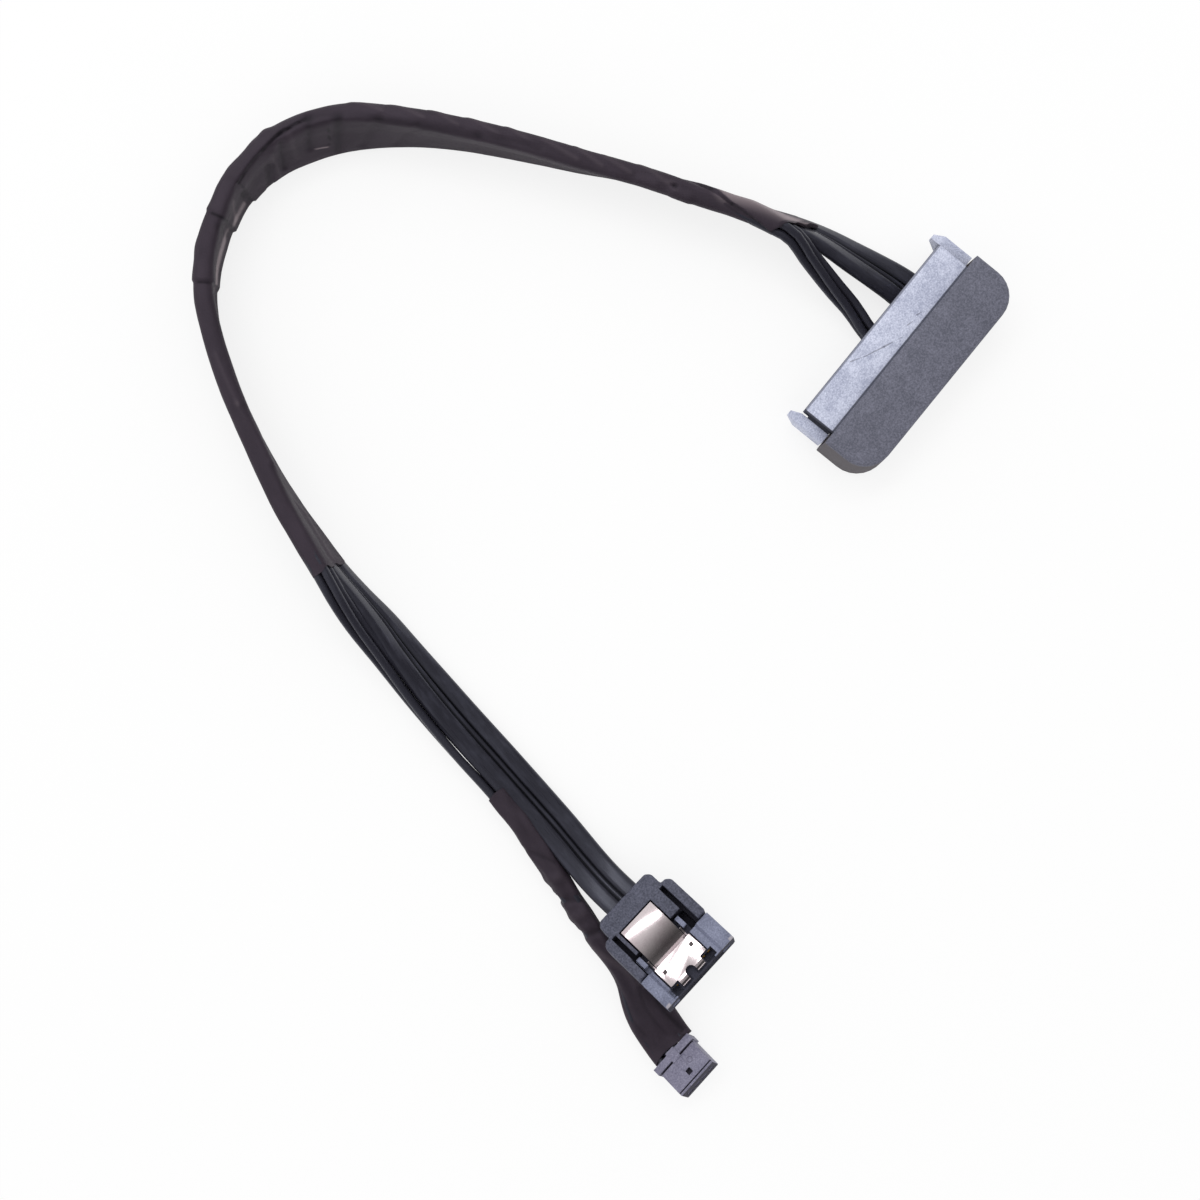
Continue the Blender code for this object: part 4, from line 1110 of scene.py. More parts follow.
SMALL_PLUG_PLASTIC = MouldedPlastic(
    "small_plug_plastic",
    linear(100, 97, 117),
    0.45,
    light=linear(146, 143, 163),
    grain=0.28 * MM,
    painted_light_boxes=(
        # Painted shade on the front face, in two lines across the top and in a slot in the middle.
        PaintedLightBox((-1, -0.12, -1), (5, 1, 4.12), linear(42, 38, 46)),
        PaintedLightBox((-1, -0.62, 3.7), (5, -0.33, 4.2), linear(40, 38, 48)),
        PaintedLightBox((-1, -5.25, 3.3), (5, -4.85, 4.2), linear(40, 38, 48)),
        PaintedLightBox((-1, -2.5, 0), (0.55, -1.3, 4.15), linear(44, 42, 50)),
    ),
    gate=(-1.47, -3.2),
    pose=POWER_PLUG.matrix,
)
CABLE_JACKET = Jacket("cable_jacket", linear(36, 35, 43), 0.3, scuff=linear(58, 58, 69))
# Its edge colour is the painted highlight and its darkest colour the painted shade.
CLOTH_TAPE = ClothTape(
    "cloth_tape", linear(43, 36, 43), 0.5, edge=linear(140, 128, 131), fold_shade=linear(14, 12, 15)
)
LATCH_STEEL = RolledSteel("latch_steel", linear(234, 223, 225), 0.15, stain=linear(204, 184, 190))
GOLD_PLATE = Plating("gold_plate", linear(190, 150, 80), 0.3)
TIN_PLATE = Plating("tin_plate", linear(176, 172, 168), 0.3)
PALE_GROUND = Ground("pale_ground", (0.95, 0.95, 0.95, 1.0), 0.9)


# Mesh helpers

MERGED = 0.001 * MM
FLAT_ANGLE = 0.8
PLUG_CREASE = 42.0
SOFT_CREASE = 55.0


def detail(full: int, draft: int) -> int:
    """The count for the whole model."""
    return full


def keep(
    name: str,
    data: bpy.types.Mesh | bpy.types.Curve,
    finish: Finish,
    body: Body = Body.CABLE,
    stands_for: Sequence[str] = (),
) -> bpy.types.Object:
    """Adds a finished piece to the scene.

    Args:
        name: The piece's name.
        data: Its mesh or curve.
        finish: Its finish.
        body: The body that it rides on.
        stands_for: The CAD nodes that it replaces.

    Returns:
        The object.
    """
    made = bpy.data.objects.new(name, data)
    bpy.context.scene.collection.objects.link(made)
    data.materials.clear()
    data.materials.append(MATERIALS.of(finish))
    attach(made, body.value)
    if stands_for:
        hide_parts(*stands_for)
    return made


class MaterialShelf:
    """Builds each finish's material once."""

    def __init__(self) -> None:
        """Starts empty."""
        self.built: dict[str, bpy.types.Material] = {}

    def of(self, finish: Finish) -> bpy.types.Material:
        """The material of a finish.

        Args:
            finish: The finish.

        Returns:
            Its material.
        """
        if finish.name not in self.built:
            self.built[finish.name] = finish.build()
        return self.built[finish.name]


MATERIALS = MaterialShelf()


def refinish(node: str, finish: Finish) -> None:
    """Gives a CAD node that keeps its shape a better material.

    Args:
        node: The node's name.
        finish: The finish.
    """
    item = bpy.data.objects[node]
    for slot in item.material_slots:
        slot.link = "OBJECT"
        slot.material = MATERIALS.of(finish)


def shaded(shape: bmesh.types.BMesh, mesh: bpy.types.Mesh, crease: float) -> bpy.types.Mesh:
    """Writes a shape to its mesh, smooth up to a crease, and frees it.

    Args:
        shape: The shape.
        mesh: The mesh that it is written to.
        crease: Degrees from which an edge stays sharp.

    Returns:
        The mesh.
    """
    shape.to_mesh(mesh)
    shape.free()
    mesh.shade_smooth()
    mesh.set_sharp_from_angle(angle=radians(crease))
    return mesh


def softened(node: str, width: float, sharp: float = 28.0) -> bpy.types.Mesh:
    """A copy of a CAD node's mesh with rounded edges.

    Args:
        node: The node's name.
        width: Width of the rounding in metres.
        sharp: Edges that turn by more than this many degrees are rounded.

    Returns:
        The new mesh.
    """
    mesh = bpy.data.objects[node].data.copy()
    mesh.name = f"{node}_rounded"
    shape = bmesh.new()
    shape.from_mesh(mesh)
    bmesh.ops.remove_doubles(shape, verts=shape.verts, dist=MERGED)
    bmesh.ops.dissolve_limit(
        shape, angle_limit=radians(FLAT_ANGLE), verts=shape.verts, edges=shape.edges
    )
    edges = [e for e in shape.edges if e.is_manifold and e.calc_face_angle(0) > radians(sharp)]
    bmesh.ops.bevel(
        shape,
        geom=edges,
        offset=width,
        offset_type="OFFSET",
        segments=2,
        profile=0.5,
        affect="EDGES",
        clamp_overlap=True,
        material=-1,
    )
    return shaded(shape, mesh, PLUG_CREASE)


def rounded(points: Sequence[Pair], passes: int) -> Outline:
    """Cuts the corners of a closed outline until it is smooth.

    Args:
        points: The outline's corners.
        passes: How often its corners are cut.

    Returns:
        The smooth outline.
    """
    outline = list(points)
    for _ in range(passes):
        cut = []
        for (ax, ay), (bx, by) in zip(outline, outline[1:] + outline[:1]):
            cut.append((ax * 0.75 + bx * 0.25, ay * 0.75 + by * 0.25))
            cut.append((ax * 0.25 + bx * 0.75, ay * 0.25 + by * 0.75))
        outline = cut
    return outline


@dataclass
class SkinPoint:
    """A point of a skin, its place along and around, and its painted light from painted shade at -1 to
    painted highlight at 1.
    """

    where: Vector
    along: float
    around: float
    tone: float = 0.0


def skin(name: str, rings: Sequence[Sequence[SkinPoint]]) -> bpy.types.Mesh:
    """Bends a grid round a lead or a tape; the last point of each row meets the first.

    Args:
        name: The mesh's name.
        rings: Rows of equal count.

    Returns:
        The mesh, with its open ends left open.
    """
    shape = bmesh.new()
    rows, columns = len(rings) - 1, len(rings[0]) - 1
    bmesh.ops.create_grid(shape, x_segments=columns, y_segments=rows, size=0.5)
    texture = shape.loops.layers.uv.new("place")
    tone = shape.verts.layers.float.new("tone")
    points = {}
    for vert in shape.verts:
        row, column = round((vert.co.y + 0.5) * rows), round((vert.co.x + 0.5) * columns)
        points[vert] = rings[row][column]
    for face in shape.faces:
        for loop in face.loops:
            loop[texture].uv = (points[loop.vert].along, points[loop.vert].around)
    for vert, point in points.items():
        vert.co, vert[tone] = point.where, point.tone
    bmesh.ops.remove_doubles(shape, verts=shape.verts, dist=MERGED / 10)
    bmesh.ops.recalc_face_normals(shape, faces=shape.faces)
    return shaded(shape, bpy.data.meshes.new(name), SOFT_CREASE)


def fill_ends(mesh: bpy.types.Mesh) -> None:
    """Closes a skin's two open ends.

    Args:
        mesh: The skin.
    """
    shape = bmesh.new()
    shape.from_mesh(mesh)
    bmesh.ops.holes_fill(shape, edges=[edge for edge in shape.edges if edge.is_boundary])
    bmesh.ops.recalc_face_normals(shape, faces=shape.faces)
    shape.to_mesh(mesh)
    shape.free()


def evened(outline: Sequence[Pair], count: int) -> Outline:
    """Spaces a closed outline's points evenly, from its first point on.

    Args:
        outline: The outline.
        count: Number of points.

    Returns:
        The new outline.
    """
    places = perimeter_places(outline)
    closed = [*outline, outline[0]]
    points, index = [], 0
    for step in range(count):
        target = places[-1] * step / count
        while places[index + 1] < target:
            index += 1
        share = (target - places[index]) / (places[index + 1] - places[index])
        (ax, ay), (bx, by) = closed[index], closed[index + 1]
        points.append((ax + (bx - ax) * share, ay + (by - ay) * share))
    return points


def perimeter_places(outline: Sequence[Pair]) -> list[float]:
    """Distance around a closed outline at each of its points and back at the first.

    Args:
        outline: The outline.

    Returns:
        The distances in metres, one more than the outline has points.
    """
    places = [0.0]
    for (ax, ay), (bx, by) in zip(outline, [*outline[1:], outline[0]]):
        places.append(places[-1] + hypot(bx - ax, by - ay))
    return places


# Sub-assemblies


@dataclass
class DriveReceptacle:
    """The housing with its contact slots and guide arms, and the grip cap behind it."""

    housing_edge: float = 0.14 * MM
    cap_edge: float = 0.12 * MM

    def build(self) -> None:
        """Adds the pieces."""
        keep(
            "receptacle_shell",
            softened("drive_receptacle_housing", self.housing_edge),
            RECEPTACLE_PLASTIC,
            stands_for=["drive_receptacle_housing"],
        )
        keep(
            "grip_cap",
            softened("drive_connector_cap", self.cap_edge),
            CAP_PLASTIC,
            stands_for=["drive_connector_cap"],
        )
        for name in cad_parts:
            if name.startswith(("drive_signal_contact", "drive_power_contact")):
                refinish(name, GOLD_PLATE)


@dataclass
class DataPlug:
    """The latching data plug: cover, front housing, press latch and contacts."""

    edge: float = 0.12 * MM
    pieces: list[bpy.types.Object] = field(default_factory=list)

    def build(self) -> None:
        """Adds the pieces and keeps those that ride on the lead's end."""
        shell = keep(
            "data_plug_shell",
            softened("data_plug_housing", self.edge),
            RAIL_PLASTIC,
            stands_for=["data_plug_housing"],
        )
        cover = keep(
            "data_plug_back",
            softened("data_plug_cover", self.edge),
            COVER_PLASTIC,
            stands_for=["data_plug_cover"],
        )
        keep(
            "press_latch",
            softened("data_plug_latch", 0.06 * MM, sharp=14.0),
            LATCH_STEEL,
            body=Body.LATCH,
            stands_for=["data_plug_latch"],
        )
        self.pieces = [shell, cover]
        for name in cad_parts:
            if name.startswith("data_plug_contact"):
                refinish(name, GOLD_PLATE)
                self.pieces.append(bpy.data.objects[name])


@dataclass
class PowerPlug:
    """The small four-position power plug and its socket terminals."""

    edge: float = 0.09 * MM
    shell: bpy.types.Object | None = None
    terminals: list[bpy.types.Object] = field(default_factory=list)

    def build(self) -> None:
        """Adds the pieces."""
        self.shell = keep(
            "power_plug_shell",
            softened("power_plug_housing", self.edge),
            SMALL_PLUG_PLASTIC,
            stands_for=["power_plug_housing"],
        )
        for index in range(POWER_WIRES):
            name = f"power_plug_terminal_{index + 1}"
            refinish(name, TIN_PLATE)
            self.terminals.append(bpy.data.objects[name])


def twin_outline(bundle: Bundle) -> Outline:
    """The flat lead's section: two flat-topped lobes with a thin ridge between two grooves.

    Args:
        bundle: The lead's sizes.

    Returns:
        The outline.
    """
    half, top = bundle.cable_width / 2, bundle.cable_thickness / 2
    upper = [
        (half, 0.12 * top),
        (half - 0.06 * MM, 0.5 * top),
        (half - 0.3 * MM, 0.8 * top),
        (half - 0.7 * MM, 0.97 * top),
        (half - 1.2 * MM, top),
        (1.3 * MM, top),
        (0.95 * MM, 0.95 * top),
        (0.72 * MM, 0.74 * top),
        (0.5 * MM, 0.5 * top),
        (0.34 * MM, 0.55 * top),
        (0.16 * MM, 0.74 * top),
    ]
    upper += [(-a, b) for a, b in reversed(upper)]
    return upper + [(-a, -b) for a, b in upper]


@dataclass
class DataLead:
    """The flat two-lobed data lead from the cap to the data plug."""

    step: float = 1.3 * MM
    # Where the painted shade of the grooves lies, from the middle, and how wide it is.
    groove: float = 0.48 * MM
    groove_width: float = 0.34 * MM
    path_step: float = 6.0 * MM
    piece: bpy.types.Object | None = None

    def build(self) -> None:
        """Adds the lead."""
        outline = twin_outline(BUNDLE)
        around = perimeter_places(outline)
        outline.append(outline[0])
        rings = []
        for distance, place in DATA.spaced(self.step):
            station, share = DATA.station(place), held(place, len(DATA_START_ROUTE))
            ring = []
            for (a, b), q in zip(outline, around):
                # Painted shade in the two grooves beside the middle ridge.
                groove = bump_shape(abs(a) - self.groove, self.groove_width)
                where = station.point(a * share, b * share)
                ring.append(SkinPoint(where, distance, q, -groove))
            rings.append(ring)
        mesh = skin("data_lead", rings)
        fill_ends(mesh)
        self.piece = keep(
            "data_lead", mesh, CABLE_JACKET, stands_for=["data_cable"]
        )

    def declare(self, riders: Sequence[bpy.types.Object]) -> None:
        """Args:
            riders: The pieces on it; not used.
        """
        path = [DATA.at(place)[0] for _, place in DATA.spaced(self.path_step)]
        DATA.length


def wire_offset(index: int, share: float) -> Pair:
    """A wire's place in the section.

    Args:
        index: The wire's number from 0.
        share: How far the wires have spread.

    Returns:
        Its offsets towards the wires' side and across.
    """
    spread, sink = fan_parts(share)
    half = BUNDLE.spacing / 2
    side = -1 if index < 2 else 1
    level = -1 if index in (0, 3) else 1
    row = (index - 1.5) * BUNDLE.row_pitch
    return side * half * (1 - spread) + row * spread, level * half * (1 - sink)


@dataclass
class PowerWires:
    """The four thin wires from the cap to the power plug."""

    step: float = 2.0 * MM
    pieces: list[bpy.types.Object] = field(default_factory=list)
    lengths: list[float] = field(default_factory=list)
    starts: list[Vector] = field(default_factory=list)

    def build(self) -> None:
        """Adds the wires."""
        for index in range(POWER_WIRES):
            name = f"power_lead_{index + 1}"
            curve = bpy.data.curves.new(name, "CURVE")
            curve.dimensions = "3D"
            curve.bevel_depth = BUNDLE.wire / 2
            curve.bevel_resolution = 5
            curve.use_fill_caps = True
            points, shares = [], []
            for _, place in POWER.spaced(self.step):
                a, b = wire_offset(index, fan_share(place))
                share = held(place, len(POWER_START_ROUTE))
                points.append(POWER.station(place).point(a * share, b * share))
                shares.append(share)
            spline = curve.splines.new("POLY")
            spline.points.add(len(points) - 1)
            for target, point, share in zip(spline.points, points, shares):
                target.co, target.radius = (*point, 1), share
            self.pieces.append(
                keep(
                    name,
                    curve,
                    CABLE_JACKET,
                    stands_for=[f"power_wire_{index + 1}"],
                )
            )
            self.lengths.append(sum((b - a).length for a, b in zip(points, points[1:])))
            self.starts.append(points[0])

    def declare(self, riders: Sequence[Sequence[bpy.types.Object]]) -> None:
        """Does nothing with the wires.

        Args:
            riders: The pieces on each wire; not used.
        """


LAP_EDGE = 0.25


@dataclass(frozen=True)
class Mark:
    """A line on the tape, in millimetres along and around from the wires' side.

    It dents or raises the cloth over a width, paints shade on it by its shade (a negative shade
    paints a highlight), and may lift all that lies to the left of it, as the edge of a lap does.
    """

    start: Pair
    end: Pair
    width: float
    depth: float = 0.0
    shade: float = 0.0
    step: float = 0.0
    reach: float = 4.0

    def at(self, along: float, around: float) -> Pair:
        """Reads the mark at a place.

        Args:
            along: Millimetres along the tape.
            around: Millimetres around from the wires' side.

        Returns:
            The height in millimetres and the painted light: below 0 for painted shade, above 0 for a
            painted highlight.
        """
        run = (self.end[0] - self.start[0], self.end[1] - self.start[1])
        gone = (along - self.start[0], around - self.start[1])
        length = hypot(*run)
        share = (gone[0] * run[0] + gone[1] * run[1]) / length**2
        nearest = clamped(share)
        distance = hypot(gone[0] - run[0] * nearest, gone[1] - run[1] * nearest)
        if distance > max(self.width, self.reach if self.step else 0.0):
            return 0.0, 0.0
        near = bump_shape(distance, self.width)
        height = self.depth * near
        if self.step:
            side = (run[0] * gone[1] - run[1] * gone[0]) / length
            rise = eased(side / LAP_EDGE + 0.5) - 0.5
            height += self.step * rise * (1 - eased(distance / self.reach))
        return height, -self.shade * near


def chain(*points: Pair, **sizes: float) -> list[Mark]:
    """A bent mark through several places, one piece between each two."""
    return [Mark(first, second, **sizes) for first, second in zip(points, points[1:])]


# The first and second numbers of each place are millimetres along and around the tape
BAND = [(84.3, -0.9), (89.3, -1.5), (93.0, -2.3), (98.7, -2.5), (100.0, -2.4)]
FLAP_SEAM = [(3.0, -1.9), (5.3, -1.4), (11.0, -0.3), (15.0, 1.2), (17.3, 1.9)]
LEG_RIDGE = [(131.0, -0.6), (140.3, -1.2), (151.7, -2.5), (161.3, -8.9), (170.0, -7.4)]
# Painted shade beside the leg's ridge, without a dent.
LEG_RIDGE_SHADE = [(126.0, -1.4), (141.0, -2.0), (152.3, -2.2), (163.3, -2.8)]
TWISTS = [
    ((44.7, 0.5), (38.3, -1.0)),
    ((39.0, 0.9), (34.0, -0.9)),
    ((34.0, 0.8), (29.0, -0.7)),
    ((27.7, 1.4), (22.7, -0.4)),
    ((51.0, 1.1), (45.3, -1.1)),
    ((57.7, 1.2), (52.0, -0.8)),
    ((64.0, 1.2), (59.0, -0.9)),
    ((70.7, 1.2), (65.0, -0.8)),
    ((77.0, 0.9), (72.0, -0.6)),
]
# Shades paint shade in folds, under lap edges, beside ridges and in the pucker hole; negative shades
# paint highlights on ridges, on the flap at the mouth and along the inside of the bend.
MAIN_MARKS = (
    *chain(*FLAP_SEAM, width=0.4, shade=0.8, step=0.3, reach=5.0),
    *chain((3.3, -2.9), (8.3, -1.8), (12.0, -0.7), width=0.35, depth=-0.05, shade=0.5),
    # A painted highlight over the flap at the mouth.
    Mark((12.0, 2.4), (-5.0, 4.6), width=4.4, shade=-1.0),
    Mark((7.5, 4.2), (-3.5, 6.2), width=4.6, depth=0.55),
    Mark((3.0, -1.9), (-4.0, 9.4), width=0.7, shade=0.7),
    Mark((20.7, -0.6), (21.3, -0.6), width=0.5, depth=-0.35, shade=1.0),
    Mark((20.7, -0.7), (21.7, -0.4), width=1.2, depth=0.12, shade=-0.2),
    Mark((18.3, -2.0), (20.7, -1.9), width=1.7, depth=0.45),
    Mark((24.3, -1.5), (27.0, -1.6), width=1.6, depth=0.25),
    *(Mark(first, second, 0.9, depth=0.13, shade=-0.16) for first, second in TWISTS),
    *chain((45.0, -1.2), (55.3, -1.9), (72.3, -2.2), (84.0, -0.8), width=1.3, depth=-0.2, shade=0.3),
    *chain(*BAND, width=0.55, depth=-0.16, shade=0.75, step=0.3, reach=2.5),
    Mark((84.0, -0.7), (86.0, -8.3), width=1.2, depth=-0.32, shade=0.5),
    Mark((79.3, -2.2), (81.3, -11.1), width=1.6, depth=-0.4, shade=0.6),
    Mark((81.3, -3.8), (82.3, -8.8), width=0.3, depth=-0.1, shade=1.0),
    Mark((88.0, -2.5), (88.7, -8.9), width=1.2, depth=0.2, shade=-0.12),
    Mark((90.0, -3.3), (91.7, -10.1), width=1.0, depth=-0.35, shade=0.55),
    Mark((92.3, -4.1), (93.3, -11.0), width=0.8, depth=0.2, shade=-0.15),
    Mark((94.0, -7.2), (96.0, -12.1), width=1.3, depth=-0.5, shade=0.55),
    Mark((72.7, -3.1), (76.3, -10.6), width=1.6, depth=-0.2, shade=0.25),
    Mark((65.7, -2.6), (70.3, -10.6), width=1.3, depth=-0.16, shade=0.2),
    Mark((85.0, -8.9), (82.7, -9.4), width=0.3, depth=0.08, shade=-0.8),
    Mark((100.3, -12.1), (100.0, -2.4), width=0.4, depth=-0.05, shade=0.75, step=0.35),
    Mark((101.0, -6.7), (101.0, -10.6), width=0.9, depth=-0.2, shade=0.75),
    Mark((107.0, -12.1), (106.7, -0.5), width=0.45, depth=-0.05, shade=0.85, step=0.4),
    Mark((108.3, -2.3), (108.3, -9.1), width=1.4, depth=-0.1, shade=0.45),
    Mark((118.0, -11.6), (118.3, -0.1), width=0.4, depth=-0.05, shade=0.85, step=0.35),
    # Painted highlights along the inner lip and the inside of the bend.
    Mark((101.6, -9.6), (106.3, -9.2), width=1.8, shade=-0.6),
    Mark((103.3, -4.0), (105.3, -9.3), width=1.1, shade=-0.3),
    Mark((108.4, -8.4), (117.4, -7.6), width=2.3, shade=-0.9),
    Mark((91.3, 0.5), (91.0, 5.0), width=1.5, depth=0.3),
    Mark((96.0, 0.5), (96.0, 5.0), width=3.2, depth=-0.3),
    Mark((105.0, 0.7), (105.0, 5.5), width=3.0, depth=-0.2),
    Mark((112.5, 0.8), (112.5, 5.0), width=2.5, depth=0.15),
    *chain(*LEG_RIDGE, width=1.1, depth=0.12, shade=-0.14),
    *chain(*LEG_RIDGE_SHADE, width=1.2, shade=0.22),
)

# Painted shade in the folds of the branch tape and painted highlights on the ridges between them.
BRANCH_MARKS = (
    *chain((19.6, 2.5), (20.6, 0.0), (22.5, -5.0), width=1.2, depth=-0.45, shade=0.5),
    Mark((16.5, 1.0), (17.5, -3.5), width=1.6, depth=0.25, shade=-0.1),
    *chain((27.0, 2.5), (27.8, 0.0), (29.5, -5.5), width=1.2, depth=-0.35, shade=0.45),
    Mark((24.5, 1.0), (25.0, -3.5), width=1.6, depth=0.25, shade=-0.1),
    Mark((10.0, -1.0), (15.0, -4.5), width=0.8, depth=-0.15, shade=0.4),
    Mark((31.0, -1.5), (41.0, -5.5), width=1.3, depth=0.15, shade=-0.2),
    Mark((34.0, -1.0), (49.0, -2.6), width=0.7, depth=-0.1, shade=0.35),
    Mark((41.0, -5.0), (51.0, -5.6), width=0.7, depth=-0.1, shade=0.35),
    Mark((43.0, -7.4), (52.0, -8.2), width=1.0, depth=-0.15, shade=0.6),
)


@dataclass
class TapeSleeve:
    """A spirally wound cloth sleeve: laps, folds and slanting ends on a moving outline."""

    name: str
    node: str
    route: Route
    first: float
    last: float
    outline_at: Callable[[float], Outline]
    marks: Sequence[Mark] = ()
    step: float = 0.45 * MM
    start_shift: Callable[[float, float], float] = lambda around, perimeter: 0.0
    end_shift: Callable[[float, float], float] = lambda around, perimeter: 0.0
    pucker: float = 0.08 * MM
    pucker_rate: float = 200.0
    pucker_spread: float = 1.6
    fuzz: float = 0.015 * MM
    fuzz_rate: float = 900.0
    deepest: float = 0.28 * MM
    lining: float = 4.0 * MM
    thickness: float = 0.28 * MM
    seed: float = 0.0

    def station(self, distance: float) -> tuple[Station, float]:
        """The section at a distance, straight on before the route's first point.

        Args:
            distance: Metres along the route.

        Returns:
            The station, and its place on the route.
        """
        place = self.route.place_at(distance)
        station = self.route.station(place)
        if distance < 0:
            station = replace(station, centre=station.centre + station.travel * distance)
        return station, place

    def surface(self, distance: float, index: int) -> SkinPoint:
        """A point of the tape's outer face.

        Args:
            distance: Metres along the route.
            index: The point's number around the outline.

        Returns:
            The point.
        """
        station, place = self.station(distance)
        outline = self.outline_at(place)
        count = len(outline)
        a, b = outline[index % count]
        before, after = outline[(index - 1) % count], outline[(index + 1) % count]
        normal = Vector((after[1] - before[1], before[0] - after[0])).normalized()
        if normal.dot(Vector((a, b))) < 0:
            normal.negate()
        places = perimeter_places(outline)
        around = places[index]
        signed = around if around <= places[-1] / 2 else around - places[-1]
        ring = 2 * pi * around / places[-1]
        wide, rate = self.pucker_spread, self.fuzz_rate
        spot = Vector((distance * self.pucker_rate, cos(ring) * wide, sin(ring) * wide + self.seed))
        height = self.pucker * noise.noise(spot)
        height += self.fuzz * noise.noise(Vector((distance * rate, signed * rate, self.seed)))
        tone = 0.0
        start = self.route.distance_at(self.first)
        # Each mark adds its rise and its painted shade or highlight.
        for mark in self.marks:
            rise, shade = mark.at((distance - start) / MM, signed / MM)
            height += rise * MM
            tone += shade
        height = max(height, -self.deepest)
        where = station.point(a + normal.x * height, b + normal.y * height)
        return SkinPoint(where, distance, around, min(max(tone, -1.0), 1.0))

    def build(self) -> bpy.types.Object:
        """Adds the sleeve.

        Returns:
            The piece.
        """
        start, end = self.route.distance_at(self.first), self.route.distance_at(self.last)
        steps = max(24, round((end - start) / (self.step * detail(full=1, draft=3))))
        outline = self.outline_at(self.first)
        places = perimeter_places(outline)
        rings: list[list[SkinPoint]] = []
        for step in range(steps + 1):
            share = step / steps
            ring = []
            for index in range(len(outline) + 1):
                around, perimeter = places[index] / MM, places[-1] / MM
                shift = self.start_shift(around, perimeter) * (1 - share) ** 12
                shift += self.end_shift(around, perimeter) * share**12
                distance = start + (end - start) * share + shift * MM
                ring.append(self.surface(distance, index))
            rings.append(ring)
        head, tail = self.inner_rings(rings[0], 1), self.inner_rings(rings[-1], -1)
        mesh = skin(self.name, [*head[::-1], *rings, *tail])
        return keep(self.name, mesh, CLOTH_TAPE, stands_for=[self.node])

    def inner_rings(self, edge: Sequence[SkinPoint], way: int) -> list[list[SkinPoint]]:
        """Rows that turn the tape's end inward and line its mouth, in painted shade.

        Args:
            edge: The outer end row.
            way: 1 at the tape's start, -1 at its end.

        Returns:
            The rows from the edge inward.
        """
        rows = []
        for depth in (0.0, 1.2 * MM, self.lining):
            row = []
            for index, point in enumerate(edge):
                station, place = self.station(point.along + way * depth)
                outline = self.outline_at(place)
                a, b = outline[index % len(outline)]
                reach = hypot(a, b)
                inner = max(reach - self.thickness * 1.1, 0.0) / reach
                where = station.point(a * inner, b * inner)
                # The lining takes painted shade.
                row.append(SkinPoint(where, point.along, point.around, -0.6))
            rows.append(row)
        return rows


def wrap_outline(gap: float) -> Outline:
    """The wrapped bundle's outline.

    Args:
        gap: Distance from the lead and the wires.

    Returns:
        The outline.
    """
    cable_end = -BUNDLE.width / 2 - gap
    wires_end = BUNDLE.width / 2 + gap
    wires_start = wires_end - BUNDLE.wires_size - 2 * gap
    thin = BUNDLE.cable_thickness / 2 + gap
    thick = BUNDLE.wires_size / 2 + gap
    upper = [
        (wires_end, thick * 0.3),
        (wires_end - thick * 0.08, thick * 0.68),
        (wires_end - thick * 0.3, thick * 0.95),
        (wires_end - thick * 0.7, thick * 1.03),
        (wires_end - thick * 1.2, thick * 1.0),
        (wires_start + thick * 0.3, thick * 0.97),
        (wires_start - thin * 0.7, thin * 1.03),
        (wires_start - thin * 1.6, thin),
        (cable_end + thin * 2.6, thin),
        (cable_end + thin * 1.1, thin),
        (cable_end + thin * 0.35, thin * 0.85),
        (cable_end, thin * 0.4),
    ]
    outline = rounded(upper + [(a, -b) for a, b in reversed(upper)], 2)
    return evened(outline, detail(full=108, draft=48))


def branch_outline(place: float) -> Outline:
    """The wrapped wires' outline, which widens into a flat fan with a rolled edge.

    Args:
        place: Place on the wires' route.

    Returns:
        The outline.
    """
    gap, tuck, curl = 0.3 * MM, 1.1 * MM, 0.5 * MM
    count, square_power = 48, 3.2
    spread, sink = fan_parts(fan_share(place))
    square = BUNDLE.wires_size / 2 + gap
    half_width = square + (1.5 * BUNDLE.row_pitch + BUNDLE.wire / 2 + gap - square) * spread
    half_height = square + (BUNDLE.wire / 2 + gap - square) * sink
    outline = []
    for index in range(count):
        angle = 2 * pi * index / count
        c, s = cos(angle), sin(angle)
        reach = (abs(c) ** square_power + abs(s) ** square_power) ** (-1 / square_power)
        a, b = half_width * c * reach, half_height * s * reach
        rolled = eased((-a / half_width - 0.2) / 0.8) * spread
        outline.append((a - rolled * tuck, b + rolled * curl * (1 if b > 0 else 0.4)))
    return evened(outline, detail(full=72, draft=36))


def flap_shift(around: float, perimeter: float) -> float:
    """The slanting mouth at the receptacle's end: its outer side reaches furthest.

    Args:
        around: Millimetres around from the wires' side.
        perimeter: Millimetres all the way round.

    Returns:
        Millimetres that the edge is moved along the route.
    """
    short_side, run, shortest, slant = 8.4, 10.0, -4.2, 7.2
    gap = abs(around - short_side)
    gap = min(gap, perimeter - gap)
    return shortest + slant * min(gap / run, 1.0) + 0.15 * sin(around * 2.1)


def lip_shift(around: float, perimeter: float) -> float:
    """The branch tape's uneven edge at the power plug, in millimetres along it."""
    return 0.35 * sin(4 * pi * around / perimeter + 0.6)


